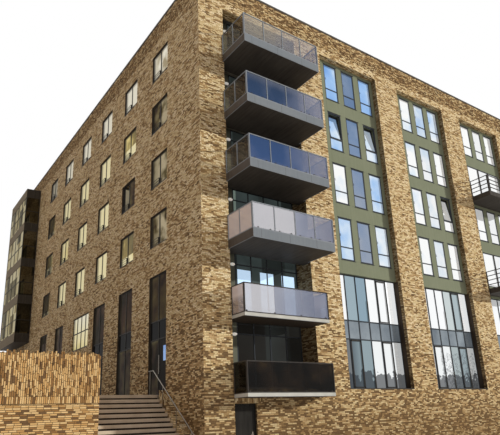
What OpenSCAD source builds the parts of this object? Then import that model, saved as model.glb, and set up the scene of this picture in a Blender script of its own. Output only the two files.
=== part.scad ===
// Brick apartment block on a street corner, six dwelling storeys over a plinth.
// Millimetres, Z up. Before the last translate the street corner of the block
// stands at X 0, Y 0: the sunny front runs along +X and looks to -Y, the long
// side runs along +Y and looks to -X, and Z 0 is the lowest ground.

/* [Storeys] */
// height from one floor to the next
storey_h = 3000; // [2850:10:3200]
// first dwelling floor above the terrace and the head of the stair
floor_up = 95; // [80:5:100]
// thickness of a concrete floor
slab_t = 260; // [200:10:300]
// brick from the roof floor up to the coping
parapet_h = 980; // [800:10:1300]
// height of the metal coping
coping_h = 120; // [60:5:160]
// how far the coping stands out over the brick
coping_out = 30; // [15:5:50]
// thickness of the side, east and rear walls
wall_t = 400; // [360:10:460]
// thickness of the front wall
front_t = 520; // [500:10:560]

/* [Front] */
// brick pier at the street corner
corner_w = 1320; // [1200:10:1500]
// width of the open loggia recess
loggia_w = 4370; // [4000:10:4600]
// pier between the loggia and the first bay
pier_1_w = 1780; // [1500:10:2000]
// width of one clad bay
bay_w = 4350; // [4200:10:4600]
// pier between two bays
pier_w = 1860; // [1500:10:2100]
// depth of the loggia behind the brick face
loggia_d = 1000; // [800:10:1300]
// head of the bay and loggia recesses above their floor
recess_head = 2450; // [2420:10:2600]
// depth of the metal cladding behind the brick face
clad_in = 300; // [250:5:320]
// depth of the glazed wall under the cladding behind the brick face
curtain_in = 450; // [400:5:450]

/* [Bay windows] */
// cladding from the bay's left edge to its first window
bay_left = 530; // [300:10:600]
// cladding from the last window to the bay's right edge
bay_right = 230; // [150:10:350]
// cladding between two bay windows
bay_win_gap = 400; // [350:10:420]
// height of a bay window
bay_win_h = 2200; // [2000:10:2250]
// sill of a bay window above its floor
bay_win_sill = 50; // [30:5:120]
// height of the fixed light under the opening sash
bay_low_light = 660; // [500:10:800]
// tilt of the bay sashes that stand ajar, in degrees
sash_tilt = 9; // [4:1:12]
// turn of the side casement that stands open, in degrees
sash_turn = 55; // [20:5:80]

/* [Side windows] */
// first side window from the corner
side_first = 3070; // [2800:10:3300]
// distance from one side window to the next
side_pitch = 3655; // [3500:5:3800]
// width of a side window
side_win_w = 1720; // [1500:10:1850]
// sill of a side window above its floor
side_sill = 600; // [500:10:800]
// head of a side window above its floor
side_head = 2200; // [2100:10:2300]
// depth of the window frames behind the brick face
frame_in = 70; // [50:5:120]
// face width of a window frame bar
frame_w = 55; // [45:5:70]
// depth of a window frame bar
frame_d = 70; // [60:5:80]
// thickness of the glass
glass_t = 24; // [16:2:30]
// thickness of the metal window sills
sill_t = 30; // [20:2:40]
// grey panel band under the upper floor of the tall windows
band_under = 780; // [600:10:900]
// and over it
band_over = 100; // [60:10:200]
// width of the one wide window over the terrace
wide_win_w = 2850; // [2700:10:3000]
// height of the one wide window over the terrace
wide_win_h = 2000; // [1900:10:2100]

/* [Balconies] */
// how far the four upper balconies stand out
balcony_out = 1770; // [1500:10:1900]
// how far the two lower balconies stand out
low_balcony_out = 900; // [800:10:1100]
// height of the metal fascia of an upper balcony
fascia_h = 350; // [300:10:420]
// underside of an upper balcony below its floor
fascia_drop = 530; // [500:10:560]
// thickness of the fascia sheet
fascia_t = 30; // [20:2:40]
// top of the upper balcony rails above their floor
rail_top = 930; // [900:10:1100]
// square posts of the balcony rails
post_w = 40; // [30:2:50]
// thickness of the lower balcony slabs
low_slab_t = 130; // [100:5:160]
// top of the lower balcony slabs below their floor
low_slab_drop = 300; // [270:10:320]
// height of the lower balcony glass
low_glass_h = 1180; // [1000:10:1200]
// how far the balconies of the last bay stand out
end_balcony_out = 1200; // [1000:10:1400]
// height of their bar railings
end_rail_h = 1100; // [1000:10:1200]

/* [Loggia stack] */
// start of the projecting loggia stack along the side
stack_y = 26300; // [26000:10:26800]
// length of the loggia stack
stack_l = 5200; // [4800:10:5600]
// how far the loggia stack stands out
stack_out = 1100; // [900:10:1300]
// height of the panelled band at each floor of the stack
stack_band = 700; // [600:10:800]
// width of one cassette panel on the bands
cassette_w = 650; // [500:10:700]
// height of the glass balustrade in the stack
stack_rail = 1000; // [900:10:1100]
// brick from the stack to the end of the side
side_end_w = 1300; // [1200:10:1600]

/* [Stair and podium] */
// number of risers
risers = 15; // [14:1:16]
// height of one riser
riser_h = 187; // [180:1:190]
// going of one step
going = 229; // [220:1:260]
// thickness of one precast step
step_t = 120; // [110:5:130]
// front of the landing behind the brick face
landing_y = 3206; // [3206:1:3300]
// width of the stair
stair_w = 3600; // [3200:10:3800]
// thickness of the brick kerb between stair and block
kerb_w = 300; // [250:10:350]
// length of podium wall in front of the terrace
podium_l = 4100; // [3500:10:5000]
// top of the podium wall above the terrace
podium_up = 1050; // [1000:10:1250]
// height of the brick kerb above the nosings
kerb_up = 280; // [200:10:350]
// height of the handrail at the foot of the stair
handrail_lo = 1230; // [1150:10:1250]
// height of the handrail above the landing
handrail_h = 990; // [900:10:1050]

/* [Doors] */
// width of the street door opening
door_w = 1010; // [900:10:1050]
// height of the street door opening
door_h = 2270; // [2150:10:2350]
// clear gap round a door leaf
door_gap = 8; // [7:1:10]
// thickness of a door leaf
leaf_t = 50; // [44:2:60]
// height of the entrance door opening above the terrace
entry_h = 2350; // [2250:10:2400]
// threshold of the street door above the lowest ground
threshold_h = 120; // [100:5:150]

/* [Hidden] */
n_floors = 6;
joint = 4;
terrace_z = risers * riser_h;
floor_1 = terrace_z + floor_up;
roof_z = floor_1 + n_floors * storey_h;
wall_top = roof_z + parapet_h;
top_z = wall_top + coping_h;
loggia_x0 = corner_w;
loggia_x1 = loggia_x0 + loggia_w;
bay_x = [for (i = [0:2]) loggia_x1 + pier_1_w + i * (bay_w + pier_w)];
front_l = bay_x[2] + bay_w + corner_w;
side_l = stack_y + stack_l + side_end_w;
recess_top = floor_1 + (n_floors - 1) * storey_h + recess_head;
win_top = floor_1 + (n_floors - 1) * storey_h + side_head;
curtain_top = fl(1) + bay_win_sill + bay_win_h + 100;
bay_win_w = (bay_w - bay_left - bay_right - 2 * bay_win_gap) / 3;
podium_x0 = -kerb_w - stair_w - podium_l;
side_cols = [for (i = [0:5]) side_first + i * side_pitch];
stack_door_y = stack_y + (stack_l - side_win_w) / 2;
east_cols = [for (i = [0:7]) side_first + i * side_pitch];
rear_pitch = (front_l - 2 * side_first - side_win_w) / 5;
rear_cols = [for (i = [0:5]) side_first + i * rear_pitch];
x_min = podium_x0;
x_max = front_l + coping_out;
y_min = -balcony_out;
y_max = side_l + coping_out;
place = [-(x_min + x_max) / 2, -(y_min + y_max) / 2, 0];

function fl(i) = floor_1 + i * storey_h;

brick = [0.72, 0.58, 0.40];
concrete = [0.62, 0.61, 0.58];
dark_metal = [0.20, 0.21, 0.22];
grey_metal = [0.55, 0.56, 0.58];
olive = [0.46, 0.45, 0.35];
glass_c = [0.60, 0.72, 0.80, 0.5];

// A box from one corner to the opposite one.
module box(a, b) { translate(a) cube(b - a); }

// Solids drawn in a wall's own plane: U along the wall, V up, W into the wall
// from its brick face. Each placing turns them onto one side of the block.
module on_front() { multmatrix([[1,0,0,0],[0,0,1,0],[0,1,0,0],[0,0,0,1]]) children(); }
module on_side() { multmatrix([[0,0,1,0],[1,0,0,0],[0,1,0,0],[0,0,0,1]]) children(); }
module on_east() { multmatrix([[0,0,-1,front_l],[1,0,0,0],[0,1,0,0],[0,0,0,1]]) children(); }
module on_rear() { multmatrix([[1,0,0,0],[0,0,-1,side_l],[0,1,0,0],[0,0,0,1]]) children(); }

// Brick between the window columns, from u0 to u1 and from z0 to z1.
module piers(cols, u0, u1, z0, z1) {
  n = len(cols);
  for (i = [0:n])
    box([i == 0 ? u0 : cols[i - 1] + side_win_w, z0, 0],
        [i == n ? u1 : cols[i], z1, wall_t]);
}

// Brick over and under the windows of one column. One tall opening takes in the
// two lowest storeys, or low is the sill of a lower window in its place.
module column_bands(u, low = terrace_z) {
  box([u, 0, 0], [u + side_win_w, low, wall_t]);
  for (i = [1:n_floors - 2])
    box([u, fl(i) + side_head, 0], [u + side_win_w, fl(i + 1) + side_sill, wall_t]);
}

// Brick of a column that has a door on each of its four upper storeys.
module door_column_bands(u) {
  box([u, 0, 0], [u + side_win_w, fl(2), wall_t]);
  for (i = [2:n_floors - 2])
    box([u, fl(i) + side_head, 0], [u + side_win_w, fl(i + 1), wall_t]);
}

// A window frame filling w by h from u, v, with upright bars at us and cross
// bars at vs, both given as the middle of the bar from the lower left corner.
module frame(u, v, w, h, us, vs, w_in) {
  xs = concat([frame_w / 2], us, [w - frame_w / 2]);
  zs = concat([frame_w / 2], vs, [h - frame_w / 2]);
  translate([u, v, w_in]) difference() {
    cube([w, h, frame_d]);
    for (i = [0:len(xs) - 2], j = [0:len(zs) - 2])
      translate([xs[i] + frame_w / 2, zs[j] + frame_w / 2, -1])
        cube([xs[i + 1] - xs[i] - frame_w, zs[j + 1] - zs[j] - frame_w, frame_d + 2]);
  }
}

// The panes of such a frame, each a sheet in the middle of the frame's depth.
module panes(u, v, w, h, us, vs, w_in) {
  xs = concat([frame_w / 2], us, [w - frame_w / 2]);
  zs = concat([frame_w / 2], vs, [h - frame_w / 2]);
  for (i = [0:len(xs) - 2], j = [0:len(zs) - 2])
    translate([u + xs[i] + frame_w / 2, v + zs[j] + frame_w / 2,
               w_in + (frame_d - glass_t) / 2])
      cube([xs[i + 1] - xs[i] - frame_w, zs[j + 1] - zs[j] - frame_w, glass_t]);
}

// Brick walls.
module front_wall_piers() color(brick) on_front() {
  box([0, 0, 0], [corner_w, recess_top, front_t]);
  box([loggia_x1, terrace_z, 0], [bay_x[0], recess_top, front_t]);
  for (i = [0:1])
    box([bay_x[i] + bay_w, terrace_z, 0], [bay_x[i + 1], recess_top, front_t]);
  box([bay_x[2] + bay_w, terrace_z, 0], [front_l, recess_top, front_t]);
}

module front_wall_bands() color(brick) on_front() {
  box([corner_w + door_w, 0, 0], [front_l, terrace_z, front_t]);
  box([0, recess_top, 0], [front_l, wall_top, front_t]);
}

// Brick over the street door, and over the wide window beside its column.
wide_col = 3;
wide_u1 = side_cols[wide_col] + side_win_w;
wide_u0 = wide_u1 - wide_win_w;
wide_z1 = fl(1) + side_head;
wide_z0 = wide_z1 - wide_win_h;

module lintel_walls() color(brick) {
  on_front() box([corner_w, door_h, 0], [corner_w + door_w, terrace_z, front_t]);
  on_side() box([wide_u0, wide_z1, 0], [side_cols[wide_col], win_top, wall_t]);
}

module side_wall_piers() color(brick) on_side() {
  cols = concat(side_cols, [stack_door_y]);
  n = len(cols);
  for (i = [0:n])
    box([i == 0 ? front_t : cols[i - 1] + side_win_w, 0, 0],
        [i == wide_col ? wide_u0 : i == n ? side_l - wall_t : cols[i], win_top, wall_t]);
}

module side_wall_bands() color(brick) on_side() {
  for (k = [0:5]) column_bands(side_cols[k], k == wide_col ? wide_z0 : terrace_z);
  box([wide_u0, 0, 0], [side_cols[wide_col], wide_z0, wall_t]);
  door_column_bands(stack_door_y);
  box([front_t, win_top, 0], [side_l - wall_t, wall_top, wall_t]);
}

module east_wall_piers() color(brick) on_east()
  piers(east_cols, front_t, side_l - wall_t, 0, win_top);

module east_wall_bands() color(brick) on_east() {
  for (u = east_cols) column_bands(u);
  box([front_t, win_top, 0], [side_l - wall_t, wall_top, wall_t]);
}

module rear_wall_piers() color(brick) on_rear()
  piers(rear_cols, 0, front_l, 0, win_top);

module rear_wall_bands() color(brick) on_rear() {
  for (u = rear_cols) column_bands(u);
  box([0, win_top, 0], [front_l, wall_top, wall_t]);
}

// Roof and floors.
module roof_coping() color(dark_metal) {
  o = coping_out;
  w = wall_t + 2 * o;
  wf = front_t + 2 * o;
  box([-o, -o, wall_top], [front_l + o, wf - o, top_z]);
  box([-o, side_l + o - w, wall_top], [front_l + o, side_l + o, top_z]);
  for (x = [-o, front_l + o - w])
    box([x, wf - o + joint, wall_top], [x + w, side_l + o - w - joint, top_z]);
}

module roof_slab() color(grey_metal)
  box([wall_t, front_t, roof_z - slab_t], [front_l - wall_t, side_l - wall_t, roof_z]);

module floor_slabs() color(concrete) {
  box([wall_t, front_t, 0], [front_l - wall_t, side_l - wall_t, threshold_h]);
  for (i = [0:n_floors - 1])
    box([wall_t, front_t, fl(i) - slab_t], [front_l - wall_t, side_l - wall_t, fl(i)]);
}

// Loggia recess behind the balconies.
// clear height from a floor to the concrete over it
clear_h = storey_h - slab_t;
return_t = 200;
solid_w = 880;

module loggia_returns() color(brick)
  for (i = [0:n_floors - 1], x = [loggia_x0 - return_t, loggia_x1])
    box([x, front_t, fl(i)], [x + return_t, loggia_d + return_t, fl(i) + clear_h]);

module loggia_panels() color(olive)
  for (i = [0:n_floors - 1])
    box([loggia_x0, loggia_d, fl(i)], [loggia_x0 + solid_w, loggia_d + frame_d, fl(i) + clear_h]);

loggia_gl_w = loggia_w - solid_w;
loggia_us = [for (k = [1:3]) k * loggia_gl_w / 4];

module loggia_window_frames() color(dark_metal) on_front()
  for (i = [0:n_floors - 1])
    frame(loggia_x0 + solid_w, fl(i), loggia_gl_w, clear_h, loggia_us, [side_head], loggia_d);

module loggia_panes() on_front()
  for (i = [0:n_floors - 1])
    panes(loggia_x0 + solid_w, fl(i), loggia_gl_w, clear_h, loggia_us, [side_head], loggia_d);

// Oval bulkhead lamp on the panel of each loggia.
lamp_w = 260;
lamp_h = 140;
lamp_out = 80;
lamp_z = 2170;
module wall_lamps() color([0.95, 0.94, 0.90])
  for (i = [0:n_floors - 1])
    translate([loggia_x0 + solid_w - lamp_w / 2 - 10, loggia_d, fl(i) + lamp_z])
      scale([1, 1, lamp_h / lamp_w]) rotate([90, 0, 0])
        cylinder(r1 = lamp_w / 2, r2 = lamp_w * 0.42, h = lamp_out, $fn = 40);

// Clad bays.
function is_door_row(b, i) = b == 2 && (i == 2 || i == 4);
// the three sashes that stand tilted in at the head
function is_open(b, i, k) = b == 0 && i == 4 && k != 1 || b == 1 && i == 3 && k == 2;
bay_us = [for (k = [0:2]) bay_left + k * (bay_win_w + bay_win_gap)];
door_set_w = bay_w - bay_left - bay_right;

// Upright panels run the whole height, and cross panels close between them.
// Open joints part the panels, which hang on the floor edges behind.
module bay_cladding() color(olive) on_front()
  for (b = [0:2]) translate([bay_x[b], 0, 0]) {
    box([0, curtain_top, clad_in], [bay_left, recess_top, front_t]);
    box([bay_w - bay_right, curtain_top, clad_in], [bay_w, recess_top, front_t]);
    for (i = [2:n_floors - 1]) {
      z0 = fl(i) + bay_win_sill;
      if (!is_door_row(b, i)) for (k = [0:1])
        box([bay_us[k] + bay_win_w, z0, clad_in], [bay_us[k + 1], z0 + bay_win_h, front_t]);
      top = i == n_floors - 1 ? recess_top : fl(i + 1) + bay_win_sill - joint;
      box([bay_left + joint, z0 + bay_win_h + joint, clad_in],
          [bay_w - bay_right - joint, top, front_t]);
    }
    box([bay_left + joint, curtain_top, clad_in],
        [bay_w - bay_right - joint, fl(2) + bay_win_sill - joint, front_t]);
  }

// Each window is given as its left edge, width, upright bars and cross bars.
module each_bay_window()
  for (b = [0:2], i = [2:n_floors - 1]) translate([bay_x[b], fl(i) + bay_win_sill, 0])
    if (is_door_row(b, i)) {
      $u = bay_left; $w = door_set_w; $us = [$w / 3, 2 * $w / 3]; $vs = []; $open = false;
      children();
    }
    else for (k = [0:2]) {
      $u = bay_us[k]; $w = bay_win_w; $us = []; $vs = [bay_low_light]; $open = is_open(b, i, k);
      children();
    }

// An open sash leans in from its foot on the cross bar, with a gap all round it.
win_in = clad_in + 10;
sash_w = bay_win_w - 2 * frame_w - 16;
sash_h = bay_win_h - bay_low_light - 1.5 * frame_w - 8;
module tilted_in() translate([$u + frame_w + 8, bay_low_light + frame_w / 2, win_in])
  rotate([sash_tilt, 0, 0]) children();

module bay_window_frames() color(dark_metal) on_front() each_bay_window() {
  frame($u, 0, $w, bay_win_h, $us, $vs, win_in);
  if ($open) tilted_in() frame(0, 0, sash_w, sash_h, [], [], 0);
}

module bay_panes() on_front() each_bay_window()
  if ($open) {
    panes($u, 0, $w, bay_low_light + frame_w / 2, [], [], win_in);
    tilted_in() panes(0, 0, sash_w, sash_h, [], [], 0);
  }
  else panes($u, 0, $w, bay_win_h, $us, $vs, win_in);

// Glazed wall two storeys high, with a panel band across the floor between.
curtain_us = [for (k = [1:5]) k * bay_w / 6];
curtain_z0 = terrace_z + sill_t;
curtain_h = curtain_top - curtain_z0;
band_lo = fl(1) - band_under - curtain_z0;
band_hi = fl(1) + band_over - curtain_z0;

module curtain_wall_frames() color(dark_metal) on_front()
  for (b = [0:2])
    frame(bay_x[b], curtain_z0, bay_w, curtain_h, curtain_us, [band_lo, band_hi], curtain_in);

module curtain_cells(rows) {
  xs = concat([frame_w / 2], curtain_us, [bay_w - frame_w / 2]);
  zs = [frame_w / 2, band_lo, band_hi, curtain_h - frame_w / 2];
  for (b = [0:2], i = [0:5], j = rows)
    translate([bay_x[b] + xs[i] + frame_w / 2, curtain_z0 + zs[j] + frame_w / 2,
               curtain_in + (frame_d - glass_t) / 2])
      cube([xs[i + 1] - xs[i] - frame_w, zs[j + 1] - zs[j] - frame_w, glass_t]);
}

module front_window_glass() color(glass_c) {
  loggia_panes();
  bay_panes();
  on_front() curtain_cells([0, 2]);
}

// Panels in front of the floor edge, here and in the tall side windows.
module spandrel_panels() color(grey_metal) {
  on_front() curtain_cells([1]);
  on_side() for (k = [0:5]) if (k != wide_col) tall_cells(side_cols[k], [1]);
  on_east() for (u = east_cols) tall_cells(u, [1]);
  on_rear() for (u = rear_cols) tall_cells(u, [1]);
}

// Balconies over the street.
upper = [2:n_floors - 1];
deck_x0 = loggia_x0 - 70;
deck_x1 = loggia_x1 - 140;

module raise(z0, z1) translate([0, 0, z0]) linear_extrude(z1 - z0) children();

end_z = [for (i = [2, 4]) fl(i) - fascia_drop];

module balcony_decks() color(dark_metal) {
  for (i = upper) raise(fl(i) - fascia_drop, fl(i) - fascia_drop + fascia_h - 40) polygon([
    [deck_x0 + fascia_t, -balcony_out + fascia_t], [deck_x1 - fascia_t, -balcony_out + fascia_t],
    [deck_x1 - fascia_t, 0], [loggia_x1, 0], [loggia_x1, front_t], [loggia_x0, front_t],
    [loggia_x0, 0], [deck_x0 + fascia_t, 0]]);
  for (z = end_z)
    box([bay_x[2], -end_balcony_out, z], [bay_x[2] + bay_w, clad_in, z + slab_t]);
}

module balcony_fascias() color(grey_metal)
  for (i = upper) {
    z0 = fl(i) - fascia_drop;
    difference() {
      box([deck_x0, -balcony_out, z0], [deck_x1, 0, z0 + fascia_h]);
      box([deck_x0 + fascia_t, -balcony_out + fascia_t, z0 - 1],
          [deck_x1 - fascia_t, 1, z0 + fascia_h + 1]);
    }
  }

// Flat railing panel along X from x0 to x1, with n bays of posts and lower bars hs.
module rail_panel(l, z0, z1, n, p, hs = []) {
  for (k = [0:n]) translate([k * (l - p) / n, 0, z0]) cube([p, p, z1 - z0]);
  for (z = concat([z0, z1 - p], hs)) translate([0, 0, z]) cube([l, p, p]);
}

// Front panel and two side panels of one railing, parted by a joint at the corners.
module rail_frame(x0, x1, y0, z0, z1, n_front, n_side, p, hs = []) {
  translate([x0, y0, 0]) rail_panel(x1 - x0, z0, z1, n_front, p, hs);
  for (x = [x0 + p, x1]) translate([x, y0 + p + joint, 0]) rotate(90)
    rail_panel(-y0 - p - joint, z0, z1, n_side, p, hs);
}

// The panes that fill such a railing, n of them, parted by posts or by gaps g.
module panel_glass(l, z0, z1, n, p, g) {
  t = glass_t / 2;
  pitch = (l - 2 * p + g) / n;
  for (k = [0:n - 1])
    translate([p + k * pitch, (p - t) / 2, z0 + p]) cube([pitch - g, t, z1 - z0 - 2 * p]);
}

module rail_glass(x0, x1, y0, z0, z1, n_front, n_side, p, g) {
  translate([x0, y0, 0]) panel_glass(x1 - x0, z0, z1, n_front, p, g);
  for (x = [x0 + p, x1]) translate([x, y0 + p + joint, 0]) rotate(90)
    panel_glass(-y0 - p - joint, z0, z1, n_side, p, g);
}

module balcony_rails() color(grey_metal)
  for (i = upper)
    rail_frame(deck_x0, deck_x1, -balcony_out, fl(i) - fascia_drop + fascia_h,
               fl(i) + rail_top, 4, 2, post_w);

module balcony_glass() color(glass_c)
  for (i = upper)
    rail_glass(deck_x0, deck_x1, -balcony_out, fl(i) - fascia_drop + fascia_h,
               fl(i) + rail_top, 4, 2, post_w, post_w);

module lower_balcony_slabs() color([0.85, 0.84, 0.80])
  for (i = [0, 1])
    box([loggia_x0, -low_balcony_out, fl(i) - low_slab_drop - low_slab_t],
        [loggia_x1, i == 0 ? 0 : front_t, fl(i) - low_slab_drop]);

low_z0 = -low_slab_drop;
low_z1 = -low_slab_drop + low_glass_h;

module clear_balcony_glass() color(glass_c)
  rail_glass(loggia_x0, loggia_x1, -low_balcony_out, fl(1) + low_z0, fl(1) + low_z1,
             3, 1, post_w, joint);

module tinted_balcony_glass() color([0.20, 0.15, 0.12, 0.8])
  rail_glass(loggia_x0, loggia_x1, -low_balcony_out, fl(0) + low_z0, fl(0) + low_z1,
             3, 1, post_w, joint);

// The lower railings have a post at each end only, and the panes between meet
// in butt joints.
module dark_balcony_rails() color(dark_metal) {
  for (i = [0, 1])
    rail_frame(loggia_x0, loggia_x1, -low_balcony_out, fl(i) + low_z0, fl(i) + low_z1,
               1, 1, post_w);
  for (z = end_z)
    rail_frame(bay_x[2], bay_x[2] + bay_w, -end_balcony_out, z + slab_t, z + slab_t + end_rail_h,
               3, 1, post_w, [for (h = [1:3]) z + slab_t + h * (end_rail_h - post_w) / 4]);
}

// Windows in the brick sides.
tall_h = fl(1) + side_head - terrace_z - sill_t;
tall_z = terrace_z + sill_t;
half = side_win_w / 2;
tall_zs = [entry_h, fl(1) + band_over - tall_z];

// Cells of a tall window: two panes wide, three high, the middle one a panel.
module tall_cells(u, rows, door = false) {
  xs = [frame_w / 2, half, side_win_w - frame_w / 2];
  zs = concat([frame_w / 2], tall_zs, [tall_h - frame_w / 2]);
  for (i = [0:1], j = rows) if (!(door && i == 0 && j == 0))
    translate([u + xs[i] + frame_w / 2, tall_z + zs[j] + frame_w / 2,
               frame_in + (frame_d - glass_t) / 2])
      cube([xs[i + 1] - xs[i] - frame_w, zs[j + 1] - zs[j] - frame_w, glass_t]);
}

function wide_us() = [for (k = [1:3]) k * wide_win_w / 4];

// One casement of the side, in column 1 and storey 3, stands open: it turns in
// from the outer jamb.
function is_turned(is_side, k, i) = is_side && k == 1 && i == 3;
upper_h = side_head - side_sill - sill_t;
turned_w = half - 1.5 * frame_w - 8;
module at_hinge(u, v) translate([u + side_win_w - frame_w - 4, v + frame_w + 4, frame_in + frame_d])
  children();
module turned_in(u, v) at_hinge(u, v)
  rotate([0, sash_turn, 0]) translate([-turned_w, 0, -frame_d]) children();

module wall_frames(cols, is_side = false) {
  for (k = [0:len(cols) - 1]) {
    if (is_side && k == wide_col)
      frame(wide_u0, wide_z0 + sill_t, wide_win_w, wide_win_h - sill_t, wide_us(),
            [wide_win_h / 2], frame_in);
    else frame(cols[k], tall_z, side_win_w, tall_h, [half], tall_zs, frame_in);
    for (i = [2:n_floors - 1])
      frame(cols[k], fl(i) + side_sill + sill_t, side_win_w, upper_h, [half], [], frame_in);
    for (i = [2:n_floors - 1]) if (is_turned(is_side, k, i)) {
      turned_in(cols[k], fl(i) + side_sill + sill_t)
        frame(0, 0, turned_w, upper_h - 2 * frame_w - 8, [], [], 0);
      at_hinge(cols[k], fl(i) + side_sill + sill_t) for (z = [100, upper_h - 2 * frame_w - 180])
        translate([0, z, 0]) rotate([-90, 0, 0]) cylinder(r = 9, h = 80, $fn = 16);
    }
  }
}

module wall_panes(cols, is_side = false) {
  for (k = [0:len(cols) - 1]) {
    if (is_side && k == wide_col)
      panes(wide_u0, wide_z0 + sill_t, wide_win_w, wide_win_h - sill_t, wide_us(),
            [wide_win_h / 2], frame_in);
    else tall_cells(cols[k], [0, 2], is_side && k == 0);
    for (i = [2:n_floors - 1])
      if (is_turned(is_side, k, i)) {
        panes(cols[k], fl(i) + side_sill + sill_t, half + frame_w / 2, upper_h, [], [], frame_in);
        turned_in(cols[k], fl(i) + side_sill + sill_t)
          panes(0, 0, turned_w, upper_h - 2 * frame_w - 8, [], [], 0);
      }
      else panes(cols[k], fl(i) + side_sill + sill_t, side_win_w, upper_h, [half], [], frame_in);
  }
}

module casement_frames() color(dark_metal) {
  on_side() {
    wall_frames(side_cols, true);
    hinge_hand(entry_u - door_gap / 2, entry_w, entry_hinges, -1, 0);
    for (i = [2:n_floors - 1])
      frame(stack_door_y, fl(i), side_win_w, side_head, [half], [], frame_in);
  }
  on_east() wall_frames(east_cols);
  on_rear() wall_frames(rear_cols);
}

module casement_glass() color(glass_c) {
  on_side() {
    wall_panes(side_cols, true);
    for (i = [2:n_floors - 1])
      panes(stack_door_y, fl(i), side_win_w, side_head, [half], [], frame_in);
  }
  on_east() wall_panes(east_cols);
  on_rear() wall_panes(rear_cols);
}

// Low guard rails across the opening light of each upper side window.
guard_h = 350;
module guard(u, v) {
  for (h = [90, 210, guard_h - 20])
    box([u + half, v + h, frame_in - 60], [u + side_win_w, v + h + 20, frame_in - 40]);
  for (x = [u + half, u + side_win_w - 20])
    box([x, v, frame_in - 60], [x + 20, v + guard_h, frame_in]);
}

module guards(cols) for (u = cols, i = [2:n_floors - 1]) guard(u, fl(i) + side_sill + sill_t);

module casement_rails() color(dark_metal) {
  on_side() guards(side_cols);
  on_east() guards(east_cols);
  on_rear() guards(rear_cols);
}

// Metal sills, from a drip in front of the brick back to the frame.
module sill(u, v, w, depth) box([u, v, -20], [u + w, v + sill_t, depth]);

module sills(cols, is_side = false)
  for (k = [0:len(cols) - 1]) {
    if (is_side && k == wide_col) sill(wide_u0, wide_z0, wide_win_w, frame_in + frame_d);
    else sill(cols[k], terrace_z, side_win_w, frame_in + frame_d);
    for (i = [2:n_floors - 1])
      sill(cols[k], fl(i) + side_sill, side_win_w, frame_in + frame_d);
  }

module window_sills() color(dark_metal) {
  on_front() for (x = bay_x) sill(x, terrace_z, bay_w, front_t);
  on_side() sills(side_cols, true);
  on_east() sills(east_cols);
  on_rear() sills(rear_cols);
}

// Doors.
leaf_in = 100;
jamb = 50;
street_leaf_u = corner_w + jamb + door_gap;
street_leaf_w = door_w - 2 * jamb - 2 * door_gap;
street_leaf_z = threshold_h + 10;

// One hand of the barrel hinges of a door, at the inner face w of its frame and
// leaf, round an axis in the middle of the gap at u. dir points to its own flap.
barrel_r = 7;
barrel_h = 45;
module hinge_hand(u, w, zs, dir, up) {
  for (z = zs) translate([u, z + up * barrel_h, w]) {
    translate([0, 0, barrel_r]) rotate([-90, 0, 0]) cylinder(r = barrel_r, h = barrel_h, $fn = 32);
    translate([dir < 0 ? -door_gap / 2 - 25 : door_gap / 2, 0, 0]) cube([25, barrel_h, 3]);
  }
}

hinge_end = 250;
street_leaf_h = door_h - jamb - door_gap - street_leaf_z;
street_hinges = [for (z = [hinge_end, street_leaf_h / 2, street_leaf_h - hinge_end]) street_leaf_z + z];
module street_door_frame() color(dark_metal) on_front() {
  difference() {
    box([corner_w, 0, leaf_in - 20], [corner_w + door_w, door_h, leaf_in + leaf_t]);
    box([corner_w + jamb, threshold_h, leaf_in - 21],
        [corner_w + door_w - jamb, door_h - jamb, leaf_in + leaf_t + 1]);
  }
  hinge_hand(street_leaf_u - door_gap / 2, leaf_in + leaf_t, street_hinges, -1, 0);
}

module street_door() color(dark_metal) on_front() {
  box([street_leaf_u, street_leaf_z, leaf_in],
      [street_leaf_u + street_leaf_w, door_h - jamb - door_gap, leaf_in + leaf_t]);
  hinge_hand(street_leaf_u - door_gap / 2, leaf_in + leaf_t, street_hinges, 1, 1);
}

entry_w = frame_in + frame_d;
entry_u = side_first + frame_w + door_gap;
entry_leaf_z = floor_1 + 10;
entry_leaf_top = tall_z + entry_h - frame_w / 2 - door_gap;
entry_hinges = [entry_leaf_z + hinge_end, (entry_leaf_z + entry_leaf_top) / 2, entry_leaf_top - hinge_end];
module entrance_door() color(dark_metal) on_side() {
  box([entry_u, entry_leaf_z, entry_w - leaf_t],
      [side_first + half - frame_w / 2 - door_gap, entry_leaf_top, entry_w]);
  hinge_hand(entry_u - door_gap / 2, entry_w, entry_hinges, 1, 1);
}

// Projecting loggia stack on the side.
stack_x0 = -stack_out;
stack_y1 = stack_y + stack_l;
stack_top = roof_z - 100;
cassette_t = 30;
stack_bands = concat([for (i = [2:n_floors - 1]) fl(i) - stack_band], [stack_top - stack_band]);

module stack_slabs() color(dark_metal)
  for (z = stack_bands)
    box([stack_x0 + cassette_t, stack_y + cassette_t, z], [0, stack_y1 - cassette_t, z + stack_band]);

// Sheet cassettes with open joints between them, n over a length l.
module cassettes(l, n) {
  w = (l + 2 * joint) / n;
  for (k = [0:n - 1]) translate([k * w, 0, 0]) cube([w - 2 * joint, cassette_t, stack_band]);
}

module stack_panels() color([0.45, 0.42, 0.37])
  for (z = stack_bands) {
    translate([stack_x0 + cassette_t, stack_y, z]) rotate(90)
      cassettes(stack_l, round(stack_l / cassette_w));
    for (y = [stack_y, stack_y1 - cassette_t]) translate([stack_x0 + cassette_t + joint, y, z])
      cassettes(stack_out - cassette_t - joint, 2);
  }

module stack_levels() for (i = [2:n_floors - 1]) translate([0, 0, fl(i)]) {
  $h = stack_bands[i - 1] - fl(i);
  children();
}

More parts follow.
